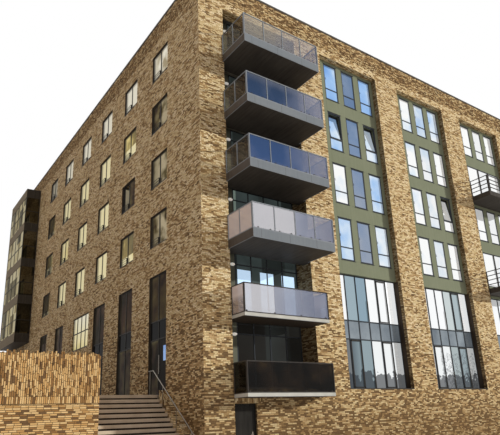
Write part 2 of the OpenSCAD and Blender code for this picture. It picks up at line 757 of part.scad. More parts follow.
// Posts at the joints of the glass, and a cap rail on each pane of the balustrade.
stack_ys = [for (k = [0:4]) stack_y + k * (stack_l - 60) / 4];
cap_h = 50;
module stack_posts() color(dark_metal) stack_levels() {
  for (y = stack_ys) box([stack_x0, y, 0], [stack_x0 + 60, y + 60, $h]);
  for (y = [stack_y, stack_y1 - 60]) box([-60, y, 0], [0, y + 60, $h]);
  for (k = [0:3]) box([stack_x0, stack_ys[k] + 60 + joint, stack_rail],
                      [stack_x0 + 50, stack_ys[k + 1] - joint, stack_rail + cap_h]);
  for (y = [stack_y, stack_y1 - 50]) box([stack_x0 + 60 + joint, y, stack_rail],
                                         [-60 - joint, y + 50, stack_rail + cap_h]);
}

// Panes under and over the cap rail.
module stack_glass() color(glass_c) stack_levels() for (zs = [[0, stack_rail], [stack_rail + cap_h, $h]]) {
  for (k = [0:3]) box([stack_x0 + 18, stack_ys[k] + 60, zs[0]], [stack_x0 + 32, stack_ys[k + 1], zs[1]]);
  for (y = [stack_y + 18, stack_y1 - 32]) box([stack_x0 + 60, y, zs[0]], [-60, y + 14, zs[1]]);
}

// Stair, podium wall and terrace.
stair_x0 = -kerb_w - stair_w;
stair_x1 = -kerb_w;
function nose_y(k) = landing_y - (risers - k) * going;

// Precast steps rest on a concrete carriage, each with a nosing over the next.
nose_in = 30;
module stair_steps() color(concrete)
  for (k = [1:risers])
    box([stair_x0, nose_y(k), k * riser_h - step_t],
        [stair_x1, nose_y(k + 1) + nose_in, k * riser_h]);

deck_y0 = nose_y(risers + 1) + nose_in;
module stair_carriage() color([0.30, 0.28, 0.26])
  translate([stair_x0, 0, 0]) rotate([90, 0, 90]) linear_extrude(stair_w)
    polygon(concat(
      [for (k = [1:risers]) each [[nose_y(k) + nose_in, max(0, (k - 1) * riser_h - step_t)],
                                  [nose_y(k) + nose_in, k * riser_h - step_t]]],
      [[deck_y0, terrace_z - step_t], [deck_y0, 0]]));

rail_r = 21;
rail_x = stair_x1 - 50;
rail_y0 = 140;
rail_y1 = 3500;
function rail_z(y) = handrail_lo + (y - rail_y0) * (terrace_z + handrail_h - handrail_lo)
  / (rail_y1 - rail_y0);

module handrail() color(grey_metal) {
  rail_end = [rail_x, rail_y1, rail_z(rail_y1)];
  rail_foot = [rail_x, rail_y0, rail_z(rail_y0)];
  hull() {
    translate(rail_foot) rotate([-90, 0, 0]) cylinder(r = rail_r, h = 20, $fn = 12);
    translate(rail_end) rotate([-90, 0, 0]) cylinder(r = rail_r, h = 20, $fn = 12);
  }
  translate(rail_end) rotate([-90, 0, 0]) cylinder(r = rail_r, h = 450, $fn = 12);
  for (k = [2, 7, 12]) {
    y = nose_y(k) + going / 2;
    translate([rail_x - 10, y - 10, k * riser_h]) cube([20, 20, rail_z(y) - k * riser_h]);
  }
  translate([rail_x - 10, rail_y1 + 300, terrace_z])
    cube([20, 20, handrail_h]);
}

podium_top = terrace_z + podium_up;
podium_in = podium_x0 + wall_t;
stair_wall_x = stair_x0 - wall_t;

// Front, outer and rear walls of the podium, the wall beside the stair, and the
// brick kerb that follows the stair on the side of the block.
module podium_walls() color(brick) {
  box([podium_x0, 0, 0], [stair_x0, wall_t, podium_top]);
  box([podium_x0, wall_t + joint, 0], [podium_in, side_l, podium_top]);
  box([podium_in + joint, side_l - wall_t, 0], [0, side_l, podium_top]);
  box([stair_wall_x, wall_t + joint, 0], [stair_x0, landing_y, podium_top]);
  translate([stair_x1, 0, 0]) rotate([90, 0, 90]) linear_extrude(kerb_w)
    polygon([[nose_y(1), 0], [side_first, 0],
             [side_first, riser_h + kerb_up + (side_first - nose_y(1)) * riser_h / going],
             [nose_y(1), riser_h + kerb_up]]);
}

module terrace_deck() color(concrete) {
  box([podium_in, deck_y0, terrace_z - slab_t], [0, side_l - wall_t, terrace_z]);
  box([podium_in, wall_t, terrace_z - slab_t], [stair_wall_x, deck_y0 - joint, terrace_z]);
}

translate(place) {
  front_wall_piers();
  front_wall_bands();
  lintel_walls();
  side_wall_piers();
  side_wall_bands();
  east_wall_piers();
  east_wall_bands();
  rear_wall_piers();
  rear_wall_bands();
  roof_coping();
  roof_slab();
  floor_slabs();
  loggia_returns();
  loggia_panels();
  loggia_window_frames();
  wall_lamps();
  bay_cladding();
  bay_window_frames();
  curtain_wall_frames();
  front_window_glass();
  spandrel_panels();
  balcony_decks();
  balcony_fascias();
  balcony_rails();
  balcony_glass();
  lower_balcony_slabs();
  clear_balcony_glass();
  tinted_balcony_glass();
  dark_balcony_rails();
  casement_frames();
  casement_glass();
  casement_rails();
  window_sills();
  street_door_frame();
  street_door();
  entrance_door();
  stack_slabs();
  stack_posts();
  stack_panels();
  stack_glass();
  stair_steps();
  stair_carriage();
  handrail();
  podium_walls();
  terrace_deck();
}
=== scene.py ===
# %% [markdown]
# # A brick corner apartment block
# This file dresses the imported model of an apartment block. The walls, floors,
# frames, panes, doors and stairs come from the frame as they are. Each gets a
# finish of its own, and small pieces that the solids leave out are added:
# projecting bricks, upright bricks, flashings, sashes, handles, clamps.
# Everything is in metres, with Z up and the block standing on its lowest level.

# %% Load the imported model
import math
import random
from functools import partial
from itertools import product

import bmesh
import bpy
from mathutils import Matrix, Vector


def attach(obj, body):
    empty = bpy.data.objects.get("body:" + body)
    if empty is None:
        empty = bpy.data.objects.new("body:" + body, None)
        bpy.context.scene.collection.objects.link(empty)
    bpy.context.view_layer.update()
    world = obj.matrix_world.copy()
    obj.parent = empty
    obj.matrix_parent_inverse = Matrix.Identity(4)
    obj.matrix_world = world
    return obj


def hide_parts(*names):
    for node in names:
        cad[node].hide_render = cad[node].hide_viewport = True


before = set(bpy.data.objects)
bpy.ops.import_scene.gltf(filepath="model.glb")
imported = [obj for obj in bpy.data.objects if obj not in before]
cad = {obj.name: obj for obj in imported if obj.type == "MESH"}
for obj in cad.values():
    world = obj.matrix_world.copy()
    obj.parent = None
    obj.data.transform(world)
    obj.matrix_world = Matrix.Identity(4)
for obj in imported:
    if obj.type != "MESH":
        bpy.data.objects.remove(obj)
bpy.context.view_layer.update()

# %% [markdown]
# ## Where things are
# The block was drawn from its front corner: X along the sunny front, Y along the
# long side. The frame stands on the middle of its own box, so one vector turns
# corner measures into frame measures. Levels are named once, because the walls,
# the glass and the trim all refer to the same storeys.

# %% Corner measures and levels
CORNER = Vector((-8.795, -15.530, 0.0))
STOREY, FLOORS, FLOOR_1 = 3.0, 6, 2.9
TERRACE = 2.805
ROOF = FLOOR_1 + FLOORS * STOREY
WALL_TOP = 21.88
FRONT_L, SIDE_L = 25.56, 32.8
FRONT_T, WALL_T = 0.52, 0.40


def floor_level(i):
    return FLOOR_1 + i * STOREY


def at(x, y, z):
    """A point measured from the block's corner, in the frame's own place."""
    return Vector((x, y, z)) + CORNER


print("floors at", [round(floor_level(i), 2) for i in range(FLOORS)])

# %% [markdown]
# ## Camera
# A camera can be pointed by eye, or worked out. Here the lens and the place were
# worked out from the long straight lines of the block, because every size in the
# model rests on them: an eye 1.5 m up, turned 35.8 degrees from the side wall's
# direction, tipped up 17.6 degrees and rolled 2.5 degrees. The view lies a little
# higher than the lens axis, which is what the small shift gives.

# %% Set the camera
HEADING, PITCH, ROLL = map(math.radians, (35.809, 17.611, -2.477))
EYE = (-19.149, -33.110, 1.5)
look = Vector((math.sin(HEADING) * math.cos(PITCH), math.cos(HEADING) * math.cos(PITCH),
               math.sin(PITCH)))
level = Vector((math.cos(HEADING), -math.sin(HEADING), 0.0))
over = level.cross(look)
right = level * math.cos(ROLL) + over * math.sin(ROLL)
up = over * math.cos(ROLL) - level * math.sin(ROLL)

camera_data = bpy.data.cameras.new("main_camera")
camera_data.sensor_width = 36.0
camera_data.lens = 39.1
camera_data.shift_y = 0.069
camera_data.clip_end = 500.0
camera = bpy.data.objects.new("main_camera", camera_data)
bpy.context.collection.objects.link(camera)
rows = [(right[k], up[k], -look[k], EYE[k]) for k in range(3)]
camera.matrix_world = Matrix((*rows, (0.0, 0.0, 0.0, 1.0)))
bpy.context.scene.camera = camera
print("camera at", tuple(round(v, 2) for v in camera.location))

# %% [markdown]
# ## Colours and nodes
# Paint and brick colours are known as sRGB hex values, while the shader wants
# linear ones, so one function turns them. One more function adds any shader node
# with its settings and links. A recipe then reads as a chain of sums, and each
# material gets that function already tied to its own tree.


# %% Colours
def linear(hex_value):
    """An sRGB hex value such as C9A877 as linear numbers, fully opaque."""
    out = []
    for k in (0, 2, 4):
        c = int(hex_value[k:k + 2], 16) / 255.0
        out.append(c / 12.92 if c <= 0.04045 else ((c + 0.055) / 1.055) ** 2.4)
    return (*out, 1.0)


print("linear C9A877 =", [round(v, 3) for v in linear("C9A877")])

# %% Nodes
MAIN_CHOICE = {"Math": "operation", "VectorMath": "operation", "Mix": "data_type",
               "TexWhiteNoise": "noise_dimensions"}


def add_node(tree, kind, *values, stops=(), steps=False):
    """Adds one shader node and returns it.

    The kind may carry the node's main choice after a dot, as in Math.ADD. Values
    go to the open inputs in turn, or by name where they come as a dictionary. A
    node or a socket is linked, and anything else is set. Stops are the places
    and the colours, or plain levels, of a ramp.
    """
    kind, _, choice = kind.partition(".")
    made = tree.nodes.new("ShaderNode" + kind)
    if choice:
        setattr(made, MAIN_CHOICE[kind], choice)
    if values and isinstance(values[0], dict):
        pairs = [(made.inputs[key], value) for key, value in values[0].items()]
    else:
        pairs = zip([socket for socket in made.inputs if socket.enabled], values)
    for socket, value in pairs:
        if isinstance(value, bpy.types.Node):
            value = next(out for out in value.outputs if out.enabled)
        if isinstance(value, bpy.types.NodeSocket):
            tree.links.new(value, socket)
        else:
            socket.default_value = value
    if stops:
        band = made.color_ramp
        band.interpolation = "CONSTANT" if steps else "LINEAR"
        while len(band.elements) < len(stops):
            band.elements.new(0.5)
        for element, (place, tone) in zip(band.elements, stops):
            element.position = place
            element.color = linear(tone) if isinstance(tone, str) else (tone, tone, tone, 1.0)
    return made


def new_material(name):
    """A material with an empty tree, and the call that adds nodes to that tree."""
    material = bpy.data.materials.new(name)
    material.use_nodes = True
    material.node_tree.nodes.clear()
    return material, partial(add_node, material.node_tree)


def dress(finish, *names):
    """Gives CAD nodes their finish."""
    for name in names:
        cad[name].material_slots[0].material = finish


print("kinds with a main choice:", len(MAIN_CHOICE))

# %% [markdown]
# ## Places on a wall
# A picture of bricks or panes would repeat, and unwrapping every wall would be
# slow. The walls all stand square to the axes, so a point's own coordinates give
# its place: metres along the wall, whichever way it faces, and metres up. A
# random number that hangs on whole-numbered places then picks one brick, pane or
# storey out of the rest.


# %% Helpers for places
def wall_place(add):
    """The point, its three coordinates, metres along and up, and 1 on the X faces."""
    coordinates = add("TexCoord").outputs
    where = coordinates["Object"]
    x, y, z = add("SeparateXYZ", where).outputs
    facing = add("SeparateXYZ", coordinates["Normal"]).outputs
    on_side = add("Math.GREATER_THAN", add("Math.ABSOLUTE", facing[0]), 0.5)
    on_top = add("Math.GREATER_THAN", add("Math.ABSOLUTE", facing[2]), 0.5)
    along = add("Mix.FLOAT", on_side, x, y)
    high = add("Mix.FLOAT", on_top, z, y)
    return where, (x, y, z), along, high, on_side


def between(add, value, low, high):
    """1 inside a range and 0 outside."""
    return add("Math.MULTIPLY", add("Math.GREATER_THAN", value, low),
               add("Math.LESS_THAN", value, high))


def chance_of(add, x, y, z=0.0):
    """A random value and colour that stay the same for each whole-numbered place."""
    return add("TexWhiteNoise.3D", add("CombineXYZ", x, y, z))


def storey_of(add, z):
    """The number of the storey that a height lies in."""
    return add("Math.FLOOR", add("Math.DIVIDE", add("Math.SUBTRACT", z, FLOOR_1), STOREY))


print("storeys of", STOREY, "m")

# %% [markdown]
# ## Wirecut clay brick
# The walls are wirecut bricks of 208 by 50 mm laid in 62.5 mm courses, fired
# from one clay to cream, ochre, tan and dark brown, and mixed from several packs.
# The eye reads the mix before the joints. The material finds the brick from the
# place on the wall: the course number, the place along the course, and a random
# number for each brick that picks its colour and how far it stands out. Bricks
# from one pack tend to lie together, so a second random number is shared by a
# few neighbours. Where bricks stand on end, the two directions are swapped.

# %% Brick sizes and clays
# A brick with its joint, along and up, and a brick alone.
BRICK_LONG, BRICK_COURSE, BRICK_THICK = 0.220, 0.0625, 0.0505
JOINT, BED_JOINT = 0.013, 0.014
# The share of places split into headers, and the weight of the pack's number.
SPLIT_SHARE, PACK_SHARE = 0.34, 0.10
# Heights over which the clay darkens towards the bottom, twice, and where the
# strip of kerb clay and the returns with painted shade lie.
FADE_Z, LOW_DARKENING_Z = (6.5, 1.5), (2.8, 1.0)
KERB_X, SHADED_RETURN_X, SHADED_RETURN_Y = -0.32, (0.6, 25.2), 1.06
WALL_CLAY = [(0.00, "E8D6AF"), (0.22, "DCC799"), (0.42, "CFB687"), (0.54, "C0A174"),
             (0.63, "A6885B"), (0.78, "856742"), (0.91, "5E442A")]
PODIUM_CLAY = [(0.00, "D8B680"), (0.30, "CCA56C"), (0.56, "B98E55"), (0.70, "865E30"),
               (0.86, "604125")]
print("bricks of %.0f by %.1f mm" % (BRICK_LONG * 1000 - 12, BRICK_COURSE * 1000 - 12))


# %% Find the brick
def find_brick(add, z, along, high, upright_from):
    """Courses up, their whole number, and bricks along, shifted by the bond."""
    length, course = along, high
    if upright_from is not None:
        stands = add("Math.GREATER_THAN", z, upright_from)
        length = add("Mix.FLOAT", stands, along, add("Math.SUBTRACT", high, upright_from))
        course = add("Mix.FLOAT", stands, high, along)
    rows = add("Math.DIVIDE", course, BRICK_COURSE)
    row = add("Math.FLOOR", rows)
    slip = add("TexWhiteNoise.1D", row)
    if upright_from is None:
        bond = add("Math.MULTIPLY_ADD", slip, 0.35, add("Math.MULTIPLY", row, 0.5))
    else:
        # The first row of upright bricks stands level, and the rest are shifted.
        first = add("Math.LESS_THAN", z, upright_from + BRICK_LONG)
        bond = add("Math.MULTIPLY", slip,
                   add("Math.SUBTRACT", 1.0, add("Math.MULTIPLY", stands, first)))
    return rows, row, add("Math.ADD", add("Math.DIVIDE", length, BRICK_LONG), bond)


def joint_lines(add, z, rows, part, split, joint, upright_from):
    """1 in the mortar joints and 0 on the bricks."""
    middle = add("Math.ABSOLUTE", add("Math.SUBTRACT", part, 0.5))
    upward = add("Math.ABSOLUTE", add("Math.SUBTRACT", add("Math.FRACT", rows), 0.5))
    gap = add("Math.MAXIMUM",
              add("Math.GREATER_THAN", middle, 0.5 - joint / BRICK_LONG / 2),
              add("Math.GREATER_THAN", upward, 0.5 - joint / BRICK_COURSE / 2))
    header_joint = add("Math.LESS_THAN", middle, joint / BRICK_LONG / 2)
    gap = add("Math.MAXIMUM", gap, add("Math.MULTIPLY", split, header_joint))
    if upright_from is not None:
        bed = add("Math.ABSOLUTE", add("Math.SUBTRACT", z, upright_from))
        gap = add("Math.MAXIMUM", gap, add("Math.LESS_THAN", bed, BED_JOINT))
    return gap


print("about %.0f%% of the bricks are split into two headers" % (SPLIT_SHARE * 100))

# %% [markdown]
# Wirecut faces are sandy and dull, so the brick has no gloss to speak of: rough
# 0.9, with a low specular level. The 4 mm grain is drawn to its real size. The
# clay is drawn darker towards the bottom, and the returns behind the sunny face
# get painted shade, so they read as dark slots.


# %% Brick material
def brick_material(name, clay, mortar, mix=0.0, upright_from=None, dark_band=None,
                   joint=JOINT, kerb=None, foot=0.0):
    """Wirecut bricks. A kerb clay serves the strip beside the side wall."""
    material, add = new_material(name)
    where, (x, y, z), along, high, on_side = wall_place(add)
    east = add("Math.SUBTRACT", x, CORNER.x)
    north = add("Math.SUBTRACT", y, CORNER.y)
    rows, row, bricks = find_brick(add, z, along, high, upright_from)
    brick, part = add("Math.FLOOR", bricks), add("Math.FRACT", bricks)
    # About a third of the places hold two headers in place of one stretcher.
    split = add("Math.LESS_THAN", chance_of(add, brick, row, 7.0),
                SPLIT_SHARE if upright_from is None else 0.0)
    half = add("Math.MULTIPLY", split, add("Math.GREATER_THAN", part, 0.5))
    one = chance_of(add, add("Math.MULTIPLY_ADD", half, 0.5, brick), row, on_side)
    proud = add("SeparateXYZ", one.outputs["Color"]).outputs[1]
    pack = chance_of(add, add("Math.FLOOR", add("Math.MULTIPLY", brick, 0.5)),
                     add("Math.FLOOR", add("Math.MULTIPLY", row, 0.34)), on_side)
    # Clouds of about 1.4 m shift the mix from place to place.
    wide = add("TexNoise", {"Vector": where, "Scale": 0.7, "Detail": 3.0})
    shade = add("Math.MULTIPLY_ADD", one, 1.0 - PACK_SHARE,
                add("Math.MULTIPLY_ADD", pack, PACK_SHARE,
                    add("Math.MULTIPLY_ADD", wide, 0.30, mix - 0.15)))
    # The relief band is drawn darker: partly darker clay, partly painted shade.
    if dark_band:
        low, top, more = dark_band
        shade = add("Math.MULTIPLY_ADD", between(add, z, low, top), more, shade)
    # The clay's mix turns darker towards the bottom.
    shade = add("Math.MULTIPLY_ADD", add("MapRange", z, *FADE_Z), foot, shade)
    fired = add("ValToRGB", shade, stops=clay, steps=True)
    if kerb:
        fired = add("Mix.RGBA", add("Math.GREATER_THAN", east, KERB_X), fired,
                    add("ValToRGB", shade, stops=kerb, steps=True))
    gap = joint_lines(add, z, rows, part, split, joint, upright_from)
    grain = add("TexNoise", {"Vector": where, "Scale": 260.0, "Detail": 2.0})
    colour = add("Mix.RGBA", add("Math.MULTIPLY", gap, 0.90), fired, linear(mortar))
    colour = add("Mix.RGBA", 0.10, colour,
                 add("ValToRGB", grain, stops=[(0.3, "5E482C"), (0.7, "F0E0B8")]))
    # The returns of the front get painted shade, a dark brown.
    returns_painted_shade = add("Math.MULTIPLY",
                add("Math.MULTIPLY", on_side, add("Math.LESS_THAN", north, SHADED_RETURN_Y)),
                between(add, east, *SHADED_RETURN_X))
    colour = add("Mix.RGBA", add("Math.MULTIPLY", returns_painted_shade, 0.55), colour, linear("2A1D12"))
    # Below 2.8 m the clay is drawn darker still, towards a dark brown.
    darker_low = add("Math.MULTIPLY", add("MapRange", z, *LOW_DARKENING_Z), foot)
    colour = add("Mix.RGBA", darker_low, colour, linear("4E3619"))
    height = add("Math.SUBTRACT",
                 add("Math.MULTIPLY_ADD", proud, 0.7, add("Math.MULTIPLY", grain, 0.12)),
                 add("Math.MULTIPLY", gap, 0.9))
    bump = add("Bump", {"Height": height, "Distance": 0.012, "Strength": 0.8})
    add("OutputMaterial", add("BsdfPrincipled", {
        "Base Color": colour, "Normal": bump, "Roughness": 0.90, "Specular IOR Level": 0.15}))
    return material


print("clays in the walls:", len(WALL_CLAY), "and in the podium:", len(PODIUM_CLAY))

# %% Brick finishes
RELIEF_FOOT = 20.80
UPRIGHT_FOOT = 2.35
wirecut_brick = brick_material("wirecut_clay_brick", WALL_CLAY, "75603F",
                               dark_band=(RELIEF_FOOT, WALL_TOP, 0.28), foot=0.32)
podium_brick = brick_material("podium_clay_brick", PODIUM_CLAY, "3D2C17",
                              upright_from=UPRIGHT_FOOT, joint=0.017, kerb=WALL_CLAY)
soldier_brick = brick_material("soldier_clay_brick", WALL_CLAY, "75603F", 0.10,
                               upright_from=-1.0)
# The headers are drawn darker, partly as darker clay and partly as painted shade.
header_brick = brick_material("header_brick_dark_and_shaded", WALL_CLAY, "5F4A2E", 0.26)
brick_walls = ["lintel_walls", "loggia_returns"]
brick_walls += [wall + part for wall in ("front_wall_", "side_wall_", "east_wall_", "rear_wall_")
                for part in ("piers", "bands")]
dress(wirecut_brick, *brick_walls)
dress(podium_brick, "podium_walls")
print("brick walls:", len(brick_walls) + 1)

# %% [markdown]
# ## Powder-coated and pressed metal
# Copings, frames, fascias and cladding are folded sheet with a baked coating.
# Such a coating is a baked plastic, so the shader isn't metallic: it is even and
# satin, with a faint orange-peel skin of about 2.5 mm, and rain leaves pale
# streaks some 110 mm wide that run down from the edges. One recipe serves all of
# them, with its own colour, gloss and amount of streaks, and sheets have seams
# where one panel ends and the next begins. The end faces of a box can take a
# second tone, which paints shade by facing: a fascia is painted darker where it
# turns into the shade, and the stack's panels are painted darker on all faces but
# the ends.


# %% Coated metal material
def coated_metal(name, colour, rough, streaks=0.10, seam=None, shine=0.20, painted_facing_tone=None):
    """Baked coating on folded sheet, with seams every so many metres."""
    material, add = new_material(name)
    where, _, along, high, on_side = wall_place(add)
    run = add("CombineXYZ", add("Math.MULTIPLY", along, 9.0), 0.0,
              add("Math.MULTIPLY", high, 0.8))
    rain = add("TexNoise", {"Vector": run, "Scale": 1.0, "Detail": 4.0})
    cloud = add("TexNoise", {"Vector": where, "Scale": 0.9, "Detail": 3.0})
    peel = add("TexNoise", {"Vector": where, "Scale": 420.0, "Detail": 1.0})
    worn = add("ValToRGB", add("Math.MULTIPLY_ADD", rain, 0.6, add("Math.MULTIPLY", cloud, 0.4)),
               stops=[(0.30, "1E1C18"), (0.72, "E6E0D2")])
    coat = linear(colour)
    # The end faces take the second tone, which paints light and shade by facing.
    if painted_facing_tone:
        coat = add("Mix.RGBA", on_side, coat, linear(painted_facing_tone))
    tone = add("Mix.RGBA", streaks, coat, worn)
    height = add("Math.MULTIPLY", peel, 0.05)
    if seam:
        panel = add("Math.FRACT", add("Math.DIVIDE", along, seam))
        line = add("Math.GREATER_THAN", add("Math.ABSOLUTE", add("Math.SUBTRACT", panel, 0.5)),
                   0.5 - 0.006 / seam)
        tone = add("Mix.RGBA", add("Math.MULTIPLY", line, 0.7), tone, linear("15130F"))
        height = add("Math.SUBTRACT", height, line)
    bump = add("Bump", {"Height": height, "Distance": 0.004, "Strength": 0.6})
    add("OutputMaterial", add("BsdfPrincipled", {
        "Base Color": tone, "Normal": bump, "Specular IOR Level": shine,
        "Roughness": add("Math.MULTIPLY_ADD", cloud, 0.12, rough - 0.06)}))
    return material


print("coated metal: matt to satin, 0.50 to 0.70 rough")

# %% Metal finishes
METALS = {
    "roof_coping": coated_metal("coated_steel_coping", "3A352F", 0.58),
    "window_sills": coated_metal("coated_steel_sill", "35322E", 0.55),
    "balcony_decks": coated_metal("brown_cassette_soffit", "3A3632", 0.60, 0.05, seam=0.6,
                                  shine=0.10),
    "balcony_fascias": coated_metal("grey_pressed_fascia", "70787F", 0.60, 0.05, seam=1.43,
                                    painted_facing_tone="4C453F"),
    "balcony_rails": coated_metal("grey_coated_rail", "7D848B", 0.50, 0.05),
    "dark_balcony_rails": coated_metal("dark_coated_rail", "2A2726", 0.50, 0.05),
    "bay_cladding": coated_metal("olive_cladding_panel", "757C66", 0.68, 0.05),
    "loggia_panels": coated_metal("dark_olive_panel", "64675A", 0.60, 0.05, shine=0.10),
    "stack_panels": coated_metal("bronze_cassette_painted_shade", "39352E", 0.70, 0.05, shine=0.04,
                                 painted_facing_tone="827864"),
    "stack_slabs": coated_metal("dark_stack_trim", "2C2925", 0.60, 0.06),
}
for name, finish in METALS.items():
    dress(finish, name)
window_metal = coated_metal("dark_window_frame", "30363D", 0.55, 0.04, shine=0.12)
casement_metal = coated_metal("brown_grey_casement", "262422", 0.55, 0.04, shine=0.12)
door_metal = coated_metal("dark_door_coating", "1D1C1B", 0.60, 0.03, shine=0.06)
dress(window_metal, "loggia_window_frames", "bay_window_frames", "curtain_wall_frames")
dress(casement_metal, "casement_frames", "casement_rails", "stack_posts")
dress(door_metal, "street_door_frame", "street_door", "entrance_door")
print("metal finishes:", len(METALS) + 3)

# %% [markdown]
# ## Concrete, membrane and steel
# Cast concrete is mottled over about half a metre and pitted by grit, and looks
# chalky. Real grit is 2 to 8 mm, and it is drawn at 11 mm so that it shows. The
# same recipe makes the pale painted balcony slabs, whose undersides get painted
# shade, the precast steps, the terrace with its 600 mm slabs, and the roof
# membrane with its metre-wide strips.


# %% Mineral material
def mineral(name, dark, pale, rough=0.85, slabs=None, joint_colour="6B665D", shaded_underside=None):
    """Cast or painted concrete, with joint lines round slabs of a given size."""
    material, add = new_material(name)
    coordinates = add("TexCoord").outputs
    where = coordinates["Object"]
    mottle = add("TexNoise", {"Vector": where, "Scale": 2.2, "Detail": 8.0})
    grit = add("TexNoise", {"Vector": where, "Scale": 90.0, "Detail": 3.0})
    both = add("Math.MULTIPLY_ADD", grit, 0.35, add("Math.MULTIPLY", mottle, 0.65))
    tone = add("ValToRGB", both, stops=[(0.32, dark), (0.68, pale)])
    height = grit
    if slabs:
        lines = []
        for socket, size in zip(add("SeparateXYZ", where).outputs, slabs):
            share = add("Math.FRACT", add("Math.DIVIDE", socket, size))
            edge = add("Math.ABSOLUTE", add("Math.SUBTRACT", share, 0.5))
            lines.append(add("Math.GREATER_THAN", edge, 0.5 - 0.008 / size))
        line = add("Math.MAXIMUM", *lines)
        tone = add("Mix.RGBA", line, tone, linear(joint_colour))
        height = add("Math.SUBTRACT", grit, add("Math.MULTIPLY", line, 2.0))
    # A dark colour on the faces that look down is painted shade.
    if shaded_underside:
        facing = add("SeparateXYZ", coordinates["Normal"]).outputs
        tone = add("Mix.RGBA", add("Math.LESS_THAN", facing[2], -0.5), tone, linear(shaded_underside))
    bump = add("Bump", {"Height": height, "Distance": 0.002, "Strength": 0.5})
    add("OutputMaterial", add("BsdfPrincipled", {
        "Base Color": tone, "Normal": bump, "Roughness": rough, "Specular IOR Level": 0.2}))
    return material


MINERALS = {
    "floor_slabs": mineral("cast_concrete_floor", "7E7A72", "A19C92"),
    "terrace_deck": mineral("terrace_paving", "8B867B", "ACA698", slabs=(0.6, 0.6)),
    "lower_balcony_slabs": mineral("pale_painted_slab", "A9AAA4", "C2C3BC", 0.7,
                                   shaded_underside="3A322A"),
    "stair_steps": mineral("pale_precast_step", "B5A792", "CFC2AE", 0.8),
    # The carriage's dark colour is painted shade in the gaps under the treads.
    "stair_carriage": mineral("dark_grip_and_shaded_carriage", "2B2620", "3E372F"),
    "roof_slab": mineral("roofing_membrane", "5E5F60", "77787A", 0.75, slabs=(1.0, 8.0),
                         joint_colour="4A4B4C"),
}
for name, finish in MINERALS.items():
    dress(finish, name)
print("mineral finishes:", len(MINERALS))

# %% [markdown]
# The handrail, the lever and the pulls are stainless steel, brushed along their
# length. Brushing stretches a highlight across the lines. Real lines are a tenth
# of a millimetre apart, and they are drawn about 1 mm apart so that they show.

# %% Brushed steel
brushed_steel, add = new_material("brushed_stainless_steel")
stretched = add("Mapping", {"Vector": add("TexCoord").outputs["Object"],
                            "Scale": (900.0, 6.0, 900.0)})
brushing = add("TexNoise", {"Vector": stretched, "Scale": 1.0, "Detail": 2.0})
add("OutputMaterial", add("BsdfPrincipled", {
    "Base Color": add("ValToRGB", brushing, stops=[(0.3, "837B70"), (0.7, "A39B8F")]),
    "Roughness": add("Math.MULTIPLY_ADD", brushing, 0.15, 0.25), "Metallic": 1.0}))
dress(brushed_steel, "handrail")
print("brushed steel done")

# %% [markdown]
# ## Glass
# By day a coated window pane is a mirror before it is a window: it shows its
# bright surroundings, bluer high up and whiter low down, and each sash stands at
# an angle of its own, so one pane is bright and the next is dull. A clear shader
# would show only the empty rooms. So the window glass is a tinted mirror with
# almost no roughness, and its tint is a painted reflection of those surroundings.
# It comes from the height, from the distance along the wall, from a soft cloud
# noise and from a random number of each pane. A mirror also needs something bright
# to show, which a plain studio lacks on most sides, so a share of the tint is given
# as painted glow instead, and the same share is taken from the mirror. Float glass
# is flat to the eye, with soft waves of about 0.6 m.


# %% Mirror glass
def mirror_glass(add, tint, metallic=0.9, rough=0.04, glow=0.0, rim="FFFFFF", boost=None):
    """Finishes a recipe as a tinted mirror, whose tint is a painted reflection and may
    be partly painted glow. The rim colours what grazes the pane, and boost is a
    further share of painted glow from place to place."""
    where = add("TexCoord").outputs["Object"]
    ripple = add("TexNoise", {"Vector": where, "Scale": 1.6, "Detail": 1.0})
    inputs = {"Normal": add("Bump", {"Height": ripple, "Distance": 0.01, "Strength": 0.08}),
              "Base Color": tint, "Specular Tint": linear(rim), "Metallic": metallic,
              "Roughness": rough}
    if glow:
        inputs["Emission Strength"] = glow
        inputs["Emission Color"] = tint
        inputs["Base Color"] = add("Mix.RGBA", glow, tint, linear("000000"))
        if boost is not None:
            inputs["Emission Color"] = add("VectorMath.SCALE", tint,
                                           add("Math.ADD", boost, 1.0))
    add("OutputMaterial", add("BsdfPrincipled", inputs))


print("mirror glass is ready")

# %% [markdown]
# The front has three bays, 6.21 m apart. The painted reflections of their upper
# windows turn paler towards the far end and low down, and the middle light of
# each bay, which is fixed, gets a duller painted reflection than the sashes
# beside it. Below them stand glazed walls two storeys tall, six cells wide, whose
# painted reflections go from blue grey to white and back along the front.

# %% Bays of the front
BAY_X = (7.47, 13.68, 19.89)
BAY_PITCH, BAY_W = 6.21, 4.35
WINDOW_PITCH = 1.33
CELL_W = 0.725
CURTAIN_TOP = 8.25
LOWER_ROW_TOP = 5.1


